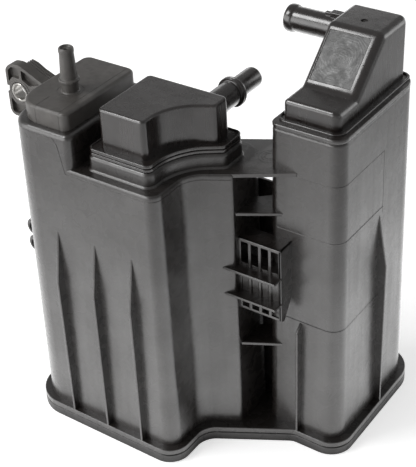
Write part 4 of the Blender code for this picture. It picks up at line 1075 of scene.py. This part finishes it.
class CANISTER_OT_clip_bracket(bpy.types.Operator):
    """Windowed clip bracket in front of the gap between the chambers"""

    bl_idname = "canister.clip_bracket"
    bl_label = "Clip bracket"

    def execute(self, context):
        front = BRACKET_Y - BRACKET_T
        x0, x1 = BRACKET_X
        z0, z1 = BRACKET_Z
        root_y = RIGHT_Y[0] + drafted(z0) + BITE
        side = (
            (front, z0), (BRACKET_Y + BRACKET_T, z0 - BRACKET_SIDE_DROP), (root_y, z0 + BRACKET_SIDE_RISE),
            (root_y, z1), (front, z1),
        )
        wall_x = LEFT_X[2] - drafted(LEDGE_Z) - BITE
        hollow_y = LEFT_Y[1] + drafted(LEDGE_Z) + (SHELF_X0 - LEFT_X[1]) * SLOPE
        made = [
            self.windowed_plate(front),
            block((x0, x1), (front + 0.1, root_y), (z1 - BRACKET_T, z1)),
            sheet([(x1 - BRACKET_T, y, z) for y, z in side], (BRACKET_T, 0, 0)),
        ]
        for z in SHELF_Z:
            points = (
                (SHELF_X0, SHELF_Y), (x1, SHELF_Y), (x1, root_y), (RIGHT_X[0] + 3.0, root_y),
                (wall_x, root_y - BITE), (wall_x, hollow_y + WALL), (SHELF_X0, hollow_y + BITE),
            )
            made.append(sheet([(x, y, z) for x, y in points], (0, 0, -BRACKET_T)))
        radius = settings_of(context).edge_radius
        for number, bm in enumerate(made, 1):
            piece(f"clip_bracket_{number}", bm, housing_nylon(), "canister_body", radius)
        return {"FINISHED"}

    def windowed_plate(self, front):
        """Front plate with two rows of windows, and sunk panels between the rows."""
        pitch = (BRACKET_X[1] - BRACKET_X[0] - BRACKET_POST_W) / WINDOW_COUNT
        starts = [BRACKET_X[0] + BRACKET_POST_W + column * pitch for column in range(WINDOW_COUNT)]
        width = pitch - BRACKET_POST_W
        bm = bmesh.new()
        x0, x1 = BRACKET_X
        z0, z1 = BRACKET_Z
        bm.faces.new([bm.verts.new((x, front, z)) for x, z in ((x0, z0), (x1, z0), (x1, z1), (x0, z1))])
        lines = [((x, 0, 0), (1, 0, 0)) for start in starts for x in (start, start + width)]
        lines += [((0, 0, z), (0, 0, 1)) for row in WINDOW_ROWS for z in row]
        for point, normal in lines:
            geometry = bm.verts[:] + bm.edges[:] + bm.faces[:]
            bmesh.ops.bisect_plane(bm, geom=geometry, plane_co=point, plane_no=normal)
        windows = []
        for face in bm.faces:
            centre = face.calc_center_median()
            in_column = any(start < centre.x < start + width for start in starts)
            if in_column and any(low < centre.z < high for low, high in WINDOW_ROWS):
                windows.append(face)
        bmesh.ops.delete(bm, geom=windows, context="FACES")
        made = bmesh.ops.extrude_face_region(bm, geom=bm.faces[:])
        verts = [item for item in made["geom"] if isinstance(item, bmesh.types.BMVert)]
        bmesh.ops.translate(bm, vec=(0, BRACKET_T, 0), verts=verts)
        bmesh.ops.recalc_face_normals(bm, faces=bm.faces)
        panels = []
        for face in bm.faces:
            centre = face.calc_center_median()
            in_column = any(start < centre.x < start + width for start in starts)
            if face.normal.y < -0.9 and in_column and WINDOW_ROWS[0][1] < centre.z < WINDOW_ROWS[1][0]:
                panels.append(face)
        bmesh.ops.inset_individual(
            bm, faces=panels, thickness=WINDOW_PANEL_STEP, depth=-WINDOW_PANEL_DEPTH, use_even_offset=True
        )
        return bm


class CANISTER_OT_mounting_arm(bpy.types.Operator):
    """Mounting arm with its pockets and the metal bush in its eye"""

    bl_idname = "canister.mounting_arm"
    bl_label = "Mounting arm"

    def execute(self, context):
        nylon = satin_nylon()
        radius = settings_of(context).edge_radius
        depth = ARM_Y[1] - ARM_Y[0]
        middle = (BUSH[0], ARM_Y[0] - 1.0, BUSH[1])
        cutters = [
            self.outline(pocket, ARM_Y[0] - 1.0, ARM_POCKET_DEPTH + 1.0, 0.9) for pocket in ARM_POCKETS
        ]
        cutters.append(self.outline(ARM_NOTCH, ARM_Y[0] - 1.0, depth + 2.0))
        cutters.append(drill(middle, (0, 1, 0), BOSS_R - 1.0, depth + 2.0))
        plate = carved(self.outline(ARM_EDGE, ARM_Y[0], depth, 2.2), cutters)
        piece("arm_plate", plate, nylon, "canister_body", radius)
        strut = self.outline(STRUT_EDGE, ARM_Y[1] - 1.0, STRUT_Y1 - ARM_Y[1] + 1.0)
        piece("arm_strut", carved(strut, self.strut_grooves()), nylon, "canister_body", radius / 2)
        inner = BUSH_R[1] + 0.3
        start = ARM_Y[0] - 0.3
        boss = turned(
            [(inner, 0.3), (inner, depth), (BOSS_R - 0.3, depth), (BOSS_R, depth - 0.3), (BOSS_R, 0.35),
             (BOSS_R - 0.35, 0.0), (inner + 0.3, 0.0)],
            (BUSH[0], start, BUSH[1]), (0, 1, 0),
        )
        piece("arm_boss", boss, nylon, "canister_body")
        low, high = BUSH_R
        long = depth + 1.2
        bush = turned(
            [(low, 0.2), (low, long - 0.2), (low + 0.2, long), (high - 0.2, long), (high, long - 0.2),
             (high, 0.2), (high - 0.2, 0.0), (low + 0.2, 0.0)],
            (BUSH[0], ARM_Y[0] - 0.6, BUSH[1]), (0, 1, 0),
        )
        finish = context.scene.canister_finish
        steel = shared("bush_steel_plated", plated_steel, finish.steel_colour)
        piece("bush_sleeve", bush, steel, "mount_bush")
        return {"FINISHED"}

    def outline(self, points, y, depth, corner=0.0):
        return sheet([(BUSH[0] + x, y, BUSH[1] + z) for x, z in points], (0, depth, 0), corner)

    def strut_grooves(self):
        """Cutters for the grooves that run down the upper edge of the strut."""
        (end_x, end_z), *rest = STRUT_EDGE[1:6]
        crest = [(end_x + 1.0, end_z), *rest]
        slot = [(x, z + 1.0) for x, z in crest] + [(x, z - STRUT_GROOVE_DEPTH) for x, z in reversed(crest)]
        middles = [ARM_Y[1] + (STRUT_Y1 - ARM_Y[1]) * share for share in STRUT_GROOVE_SHARES]
        return [self.outline(slot, middle - STRUT_GROOVE_W / 2, STRUT_GROOVE_W) for middle in middles]


class CANISTER_OT_tube_hooks(bpy.types.Operator):
    """Two rings on the left wall that hold a thin hose"""

    bl_idname = "canister.tube_hooks"
    bl_label = "Tube hooks"

    def execute(self, context):
        inner = HOOK_R - HOOK_WIRE
        soft = 0.4
        profile = [
            (inner, soft), (inner, HOOK_W - soft), (inner + soft, HOOK_W), (HOOK_R - soft, HOOK_W),
            (HOOK_R, HOOK_W - soft), (HOOK_R, soft), (HOOK_R - soft, 0.0), (inner + soft, 0.0),
        ]
        rings = [
            turned(profile, (LEFT_X[0] + drafted(z) - HOOK_REACH, HOOK_Y, z), (0, 1, 0)) for z in HOOK_Z
        ]
        piece("tube_hooks", joined(*rings), housing_nylon(), "canister_body")
        return {"FINISHED"}


class CANISTER_OT_bottom_cover(bpy.types.Operator):
    """Welded bottom cover with ribs on its dished underside"""

    bl_idname = "canister.bottom_cover"
    bl_label = "Bottom cover"

    def execute(self, context):
        # The same nylon from a plain mould: duller than the housing, with a thin skin; its colour, a little
        # darker than the housing's, is partly painted shade along the canister's foot
        colour = context.scene.canister_finish.cover_colour_with_shade
        nylon = shared("cover_nylon_moulded", moulded_nylon, colour, 0.45, 0.3, 0.3, 0.5)
        cover = slab(flange_plan(), 0.0, COVER_TOP, SEAM_R)
        floor = min(
            (face for face in cover.faces if face.normal.z < -0.9 and len(face.verts) > 8),
            key=lambda face: face.calc_center_median().z,
        )
        bmesh.ops.inset_individual(
            cover, faces=[floor], thickness=COVER_RIM_W, depth=-COVER_DISH, use_even_offset=True
        )
        piece("cover_plate", cover, nylon, "bottom_cover")
        inside = slab(flange_plan(), -1.0, COVER_DISH + 1.0, 0.2, inset=COVER_RIM_W - 0.4)
        for number, bar in enumerate(self.bars(), 1):
            piece(f"cover_rib_{number}", carved(bar, [inside.copy()], "INTERSECT"), nylon, "bottom_cover")
        inside.free()
        seam = flash_bead(flange_plan(), COVER_TOP + 0.15, 1.15, 0.5, rough=0.8)
        piece("cover_flash", seam, flash_nylon(), "bottom_cover")
        return {"FINISHED"}

    def bars(self):
        """Ribs both ways under the cover, as long as the whole flange."""
        x0, x1 = LEFT_X[0] - FLANGE_LIP, RIGHT_X[1] + FLANGE_LIP
        y1 = RIGHT_Y[1] + FLANGE_LIP
        z = (0.0, COVER_DISH + 0.4)
        half = UNDER_RIB_T / 2
        made = []
        y = UNDER_RIB_PITCH / 2
        while y < y1 - COVER_RIM_W:
            made.append(block((x0, x1), (y - half, y + half), z))
            y += UNDER_RIB_PITCH
        x = UNDER_RIB_X0
        while x < x1 - COVER_RIM_W:
            made.append(block((x - half, x + half), (0.0, y1), z))
            x += UNDER_RIB_PITCH
        return made


class CANISTER_OT_port_lid(bpy.types.Operator):
    """Lid of the left chamber with its weld rim and the spigot for the tank hose"""

    bl_idname = "canister.port_lid"
    bl_label = "Port lid"

    def execute(self, context):
        nylon = lid_nylon()
        z = PAD_Z + 0.3
        piece("lid_flange", slab(pad_plan(), z, z + 1.5, 0.25, inset=0.6), nylon, "port_lid")
        neck = slab(pad_plan(), z + 1.0, z + 3.0, 0.1, inset=1.5)
        piece("lid_neck", neck, nylon, "port_lid")
        piece("lid_rim", slab(pad_plan(), z + 2.1, z + 3.3, 0.2, inset=0.8), nylon, "port_lid")
        lip = ring_wall(pad_plan(), 0.7, 1.0, z + 2.9, z + 3.9)
        piece("lid_lip", lip, nylon, "port_lid", 0.35)
        flash = joined(
            flash_bead(pad_plan(), z + 1.8, 1.5, 0.36, rough=0.2), flash_bead(pad_plan(), z - 0.1, 1.3, 0.3)
        )
        piece("lid_flash", flash, flash_nylon(), "port_lid")
        shell = tower(lid_plan(), z + 2.0, LID_Z, 1.5, 0.0, 0.3)
        piece("lid_shell", shell, nylon, "port_lid")
        end = SPIGOT_END_Y - SPIGOT[1]
        collar = 18.9
        profile = [
            (4.2, -2.0), (4.2, end - 0.4), (4.6, end), (5.2, end - 0.1), (5.65, end - 0.5),
            (5.85, end - 1.4), (5.85, collar + 4.0), (7.6, collar + 3.6), (8.3, collar + 3.3),
            (8.5, collar + 2.9), (8.5, collar + 2.2), (8.2, collar + 1.9), (8.2, collar + 1.5),
            (8.5, collar + 1.2), (8.5, collar + 0.5), (8.2, collar + 0.1), (7.5, collar),
            (7.0, collar - 0.3), (7.0, 0.8), (7.3, 0.2), (7.8, -0.1), (7.8, -2.0),
        ]
        piece("tank_spigot", turned(profile, SPIGOT, (0, 1, 0)), nylon, "port_lid")
        return {"FINISHED"}


class CANISTER_OT_vent_hood(bpy.types.Operator):
    """Vent hood with its weld lip, bead and vent tube"""

    bl_idname = "canister.vent_hood"
    bl_label = "Vent hood"

    def execute(self, context):
        nylon = lid_nylon()
        low, high = LIP_Z
        lip = slab(right_plan(), low, high, 0.7, inset=drafted(RIGHT_Z) - 0.2)
        piece("hood_lip", lip, nylon, "vent_hood")
        bead = ring_wall(hood_plan(), -3.2, 1.2, high - 0.5, high + 1.0)
        piece("hood_bead", bead, nylon, "vent_hood", 0.35)
        shell = piece("hood_shell", self.shell(context), nylon, "vent_hood")
        middle = TO_CAD @ Vector((
            sum(PANEL_X) / 2, (HOOD_STEP_Y + HOOD_CREST_Y) / 2, (HOOD_LOW_Z + HOOD_TOP_Z) / 2
        ))
        # The panel's lighter colour is painted sheen for the softbox it mirrors
        colour = context.scene.canister_finish.panel_sheen_colour
        shell.data.materials.append(polished_panel("panel_nylon_rubbed_painted_sheen", colour, middle))
        gate = turned(
            [(0.0, -1.1), (0.0, -0.15), (0.35, -0.1), (0.6, -0.3), (0.7, -0.6), (0.75, -1.1)],
            (*GATE, HOOD_TOP_Z), (0, 0, 1), steps=16,
        )
        piece("hood_gate", gate, flash_nylon(), "vent_hood")
        seam = flash_bead(right_plan(), low - 0.1, drafted(RIGHT_Z) + 0.3, 0.28)
        piece("hood_flash", seam, flash_nylon(), "vent_hood")
        end = VENT[0] - VENT_END_X
        profile = [
            (5.2, -1.5), (5.2, end - 0.5), (5.7, end), (6.6, end - 0.1), (7.3, end - 0.6), (7.65, end - 1.5),
            (7.7, end - 2.5), (7.65, end - 3.8), (7.3, end - 4.9), (6.9, end - 5.6), (6.9, 0.6),
            (7.4, 0.1), (7.4, -1.5),
        ]
        tube = turned(profile, VENT, (-1, 0, 0))
        piece("vent_tube", tube, nylon, "vent_hood")
        x, y, z = VENT
        key = joined(
            block((x - 5.8, x + 2.0), (y - 2.2, y + 2.2), (z, z + 9.3)),
            block((x - 9.4, x - 5.0), (y - 1.2, y + 1.2), (z, z + 8.4)),
        )
        piece("vent_key", key, nylon, "vent_hood", 0.4)
        return {"FINISHED"}

    def shell(self, context):
        """Hood with its sloping face, rounded edges, gate dimple and sunk panel."""
        foot = LIP_Z[1] - 1.0
        profile = (
            (HOOD_Y[0], foot), (HOOD_Y[1], foot), (HOOD_Y[1], HOOD_TOP_Z), (HOOD_CREST_Y, HOOD_TOP_Z),
            (HOOD_STEP_Y, HOOD_LOW_Z), (HOOD_Y[0], HOOD_LOW_Z),
        )
        bm = sheet([(HOOD_X[0], y, z) for y, z in profile], (HOOD_X[1] - HOOD_X[0], 0, 0))
        weight = bm.edges.layers.float.new(EDGE_WEIGHT)
        for edge in bm.edges:
            if edge.calc_face_angle(0) > 0.3 and max(v.co.z for v in edge.verts) > foot + 0.1:
                on_right = all(v.co.x > HOOD_X[1] - 0.01 for v in edge.verts)
                edge[weight] = 1.0 if on_right else settings_of(context).hood_radius / HOOD_RIGHT_R
        bm = softened(bm, HOOD_RIGHT_R)
        bm = carved(bm, [drill((*GATE, HOOD_TOP_Z + 1.0), (0, 0, -1), GATE_R, 1.0 + GATE_DEPTH)])
        self.inset_panel(bm)
        return bm

    def inset_panel(self, bm):
        """Sinks the rubbed panel into the sloping face, nearer to its left edge."""
        up = Vector((0, HOOD_CREST_Y - HOOD_STEP_Y, HOOD_TOP_Z - HOOD_LOW_Z)).normalized()
        low = Vector((0, HOOD_STEP_Y, HOOD_LOW_Z)) + up * PANEL_MARGIN
        high = Vector((0, HOOD_CREST_Y, HOOD_TOP_Z)) - up * PANEL_MARGIN
        sideways = Vector((1, 0, 0))
        cuts = ((low, up), (high, up), (sideways * PANEL_X[0], sideways), (sideways * PANEL_X[1], sideways))
        for point, normal in cuts:
            slope = self.slope_face(bm)
            geometry = [slope, *slope.verts, *slope.edges]
            bmesh.ops.bisect_plane(bm, geom=geometry, plane_co=point, plane_no=normal)
        panel = self.slope_face(bm)
        bmesh.ops.inset_individual(
            bm, faces=[panel], thickness=PANEL_STEP, depth=-PANEL_DEPTH, use_even_offset=True
        )
        panel.material_index = 1

    def slope_face(self, bm):
        """Largest face of the slope."""
        sloping = [face for face in bm.faces if face.normal.y < -0.4 and face.normal.z > 0.4]
        return max(sloping, key=lambda face: face.calc_area())


class CANISTER_OT_inner_parts(bpy.types.Operator):
    """Materials of the charcoal, felts, plates, springs and foam inside"""

    bl_idname = "canister.inner_parts"
    bl_label = "Inner parts"

    def execute(self, context):
        finish = context.scene.canister_finish
        # Extruded pellets of charcoal, 2 mm across: a dull black bed with hollows between them
        charcoal = shared("charcoal_pellets", porous, finish.charcoal_colour, 2.2, 0.5)
        # Needled polyester: a pale mat of short fibres without any gloss
        felt = shared("needled_felt", porous, finish.felt_colour, 0.6, 0.12)
        # Open-cell foam: a grey sponge with pores of about a millimetre
        foam = shared("filter_foam_open_cell", porous, finish.foam_colour, 1.2, 0.4)
        # Nylon plate from a plain mould: duller than the housing
        plate = shared("plate_nylon_moulded", moulded_nylon, finish.housing_colour, 0.5)
        # Drawn wire: bright grey with fine lines along it
        spring = shared("spring_wire_drawn", plated_steel, finish.spring_colour)
        kinds = (("carbon", charcoal), ("felt", felt), ("foam", foam), ("plate", plate), ("spring", spring))
        for name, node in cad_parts.items():
            for word, material in kinds:
                if word in name:
                    node.material_slots[0].material = material
        return {"FINISHED"}


class CANISTER_OT_stage(bpy.types.Operator):
    """Floor, lamps, world and camera"""

    bl_idname = "canister.stage"
    bl_label = "Stage"

    def execute(self, context):
        settings = context.scene.canister_stage
        bm = bmesh.new()
        bmesh.ops.create_grid(bm, x_segments=1, y_segments=1, size=FLOOR_HALF)
        mesh = bpy.data.meshes.new("floor")
        bm.to_mesh(mesh)
        bm.free()
        mesh.materials.append(self.white_paper(settings))
        floor = bpy.data.objects.new("floor", mesh)
        context.scene.collection.objects.link(floor)
        self.light_world(context)
        lamps = (
            ("key_lamp", (-0.8, -0.82, 1.54), (0.7, 0.7), settings.key_power),
            ("front_lamp", (-0.95, -1.5, 0.5), (2.4, 1.4), settings.front_power),
            ("right_lamp", (0.75, 1.45, 0.4), (1.3, 0.7), settings.right_power),
            ("left_lamp", (-0.8, 1.5, 0.35), (0.8, 0.8), settings.left_power),
        )
        for name, spot, size, power in lamps:
            lamp = bpy.data.lights.new(name, "AREA")
            lamp.shape = "RECTANGLE"
            lamp.size, lamp.size_y = size
            lamp.energy = power
            obj = bpy.data.objects.new(name, lamp)
            obj.location = spot
            aim = Vector(LAMP_TARGET) - Vector(spot)
            obj.rotation_euler = aim.to_track_quat("-Z", "Y").to_euler()
            context.scene.collection.objects.link(obj)
        self.place_camera(context)
        context.scene.view_settings.view_transform = "Standard"
        return {"FINISHED"}

    def white_paper(self, settings):
        """White paper on the studio table; its gloss-only glow is a painted pool of light round the canister
        that dims outwards, with a painted contact shadow at the canister's foot.
        """
        material, tree, shader = new_material("white_paper")
        place = add_node(tree, "ShaderNodeTexCoord", {}, {})
        away = add_node(
            tree, "ShaderNodeVectorMath", {"operation": "DISTANCE", 1: GLOW_CENTRE},
            {0: place.outputs["Object"]},
        )
        # Painted pool of light: the paper glows brighter round the canister where the gloss mirrors it
        mirrored = add_node(
            tree, "ShaderNodeMapRange",
            {"From Min": GLOW_REACH[0], "From Max": GLOW_REACH[1], "To Min": settings.near_lift,
             "To Max": settings.far_lift},
            {"Value": away.outputs["Value"]},
        )
        # Painted contact shadow: ambient occlusion darkens that glow where the paper meets the canister
        touch = add_node(tree, "ShaderNodeAmbientOcclusion", {"samples": 8, "Distance": 0.02}, {})
        painted_shadow_factor = add_node(
            tree, "ShaderNodeMapRange", {"From Min": 0.5, "From Max": 0.95}, {"Value": touch.outputs["AO"]}
        )
        shaded = add_node(
            tree, "ShaderNodeMath", {"operation": "MULTIPLY"},
            {0: mirrored.outputs[0], 1: painted_shadow_factor.outputs[0]},
        )
        rays = add_node(tree, "ShaderNodeLightPath", {}, {})
        lift = add_node(
            tree, "ShaderNodeMix", {"data_type": "FLOAT", 3: settings.floor_lift},
            {0: rays.outputs["Is Camera Ray"], 2: shaded.outputs[0]},
        )
        strength = add_node(
            tree, "ShaderNodeMath", {"operation": "MULTIPLY"},
            {0: lift.outputs[0], 1: self.shown_or_mirrored(tree)},
        )
        shader.inputs["Base Color"].default_value = (*settings.floor_colour, 1.0)
        shader.inputs["Roughness"].default_value = 0.9
        shader.inputs["Emission Color"].default_value = (1.0, 1.0, 1.0, 1.0)
        tree.links.new(strength.outputs[0], shader.inputs["Emission Strength"])
        return material

    def shown_or_mirrored(self, tree):
        """1 for what the camera sees, straight or mirrored in gloss, and 0 for the light it gives."""
        rays = add_node(tree, "ShaderNodeLightPath", {}, {})
        mirrored = add_node(
            tree, "ShaderNodeMath", {"operation": "MAXIMUM"},
            {0: rays.outputs["Is Glossy Ray"], 1: rays.outputs["Is Transmission Ray"]},
        )
        shown = add_node(
            tree, "ShaderNodeMath", {"operation": "MAXIMUM"},
            {0: rays.outputs["Is Camera Ray"], 1: mirrored.outputs[0]},
        )
        return shown.outputs[0]

    def light_world(self, context):
        """White backdrop near the horizon under a darker ceiling, with a dim light of its own."""
        world = bpy.data.worlds.new("studio")
        world.use_nodes = True
        context.scene.world = world
        tree = world.node_tree
        background = tree.nodes["Background"]
        background.inputs["Color"].default_value = (1.0, 1.0, 1.0, 1.0)
        place = add_node(tree, "ShaderNodeTexCoord", {}, {})
        parts = add_node(tree, "ShaderNodeSeparateXYZ", {}, {0: place.outputs["Generated"]})
        seen = add_node(
            tree, "ShaderNodeMapRange",
            {"From Min": 0.02, "From Max": 0.3, "To Min": 0.85, "To Max": 0.3},
            {"Value": parts.outputs["Z"]},
        )
        strength = add_node(
            tree, "ShaderNodeMix", {"data_type": "FLOAT", 2: context.scene.canister_stage.fill},
            {0: self.shown_or_mirrored(tree), 3: seen.outputs[0]},
        )
        tree.links.new(strength.outputs[0], background.inputs["Strength"])

    def place_camera(self, context):
        """Camera at the photograph's viewing angle."""
        azimuth, elevation, roll = (math.radians(angle) for angle in CAMERA_ANGLES)
        forward = Vector((
            -math.sin(azimuth) * math.cos(elevation), math.cos(azimuth) * math.cos(elevation),
            -math.sin(elevation),
        ))
        level = forward.cross(Vector((0, 0, 1))).normalized()
        upright = level.cross(forward)
        right = level * math.cos(roll) + upright * math.sin(roll)
        up = upright * math.cos(roll) - level * math.sin(roll)
        data = bpy.data.cameras.new("camera")
        data.sensor_width = SENSOR
        data.lens = SENSOR * FOCAL_PIXELS / PICTURE_HEIGHT
        data.clip_start = 0.01
        camera = bpy.data.objects.new("camera", data)
        basis = Matrix((right, up, -forward)).transposed()
        camera.matrix_world = Matrix.Translation(CAMERA_SPOT) @ basis.to_4x4()
        context.scene.collection.objects.link(camera)
        context.scene.camera = camera


class CANISTER_PT_build(bpy.types.Panel):
    """Buttons that build the canister piece by piece"""

    bl_idname = "CANISTER_PT_build"
    bl_label = "Charcoal canister"
    bl_space_type = "VIEW_3D"
    bl_region_type = "UI"
    bl_category = "Canister"

    def draw(self, context):
        for operator in OPERATORS:
            self.layout.operator(operator.bl_idname)
        for settings in ("canister_shape", "canister_finish", "canister_stage"):
            group = getattr(context.scene, settings)
            for name in group.bl_rna.properties.keys():
                if name not in ("rna_type", "name"):
                    self.layout.prop(group, name)


GROUPS = (CanisterShape, CanisterFinish, CanisterStage)
OPERATORS = (
    CANISTER_OT_chambers, CANISTER_OT_purge_nipple, CANISTER_OT_fins, CANISTER_OT_webs,
    CANISTER_OT_clip_bracket, CANISTER_OT_mounting_arm, CANISTER_OT_tube_hooks, CANISTER_OT_bottom_cover,
    CANISTER_OT_port_lid, CANISTER_OT_vent_hood, CANISTER_OT_inner_parts, CANISTER_OT_stage,
)
CLASSES = (*GROUPS, *OPERATORS, CANISTER_PT_build)


def register():
    for item in CLASSES:
        bpy.utils.register_class(item)
    bpy.types.Scene.canister_shape = PointerProperty(type=CanisterShape)
    bpy.types.Scene.canister_finish = PointerProperty(type=CanisterFinish)
    bpy.types.Scene.canister_stage = PointerProperty(type=CanisterStage)


def unregister():
    del bpy.types.Scene.canister_stage
    del bpy.types.Scene.canister_finish
    del bpy.types.Scene.canister_shape
    for item in reversed(CLASSES):
        bpy.utils.unregister_class(item)


def main():
    register()
    bpy.ops.canister.chambers()
    bpy.ops.canister.purge_nipple()
    bpy.ops.canister.fins()
    bpy.ops.canister.webs()
    bpy.ops.canister.clip_bracket()
    bpy.ops.canister.mounting_arm()
    bpy.ops.canister.tube_hooks()
    bpy.ops.canister.bottom_cover()
    bpy.ops.canister.port_lid()
    bpy.ops.canister.vent_hood()
    bpy.ops.canister.inner_parts()
    bpy.ops.canister.stage()


if __name__ == "__main__":
    main()
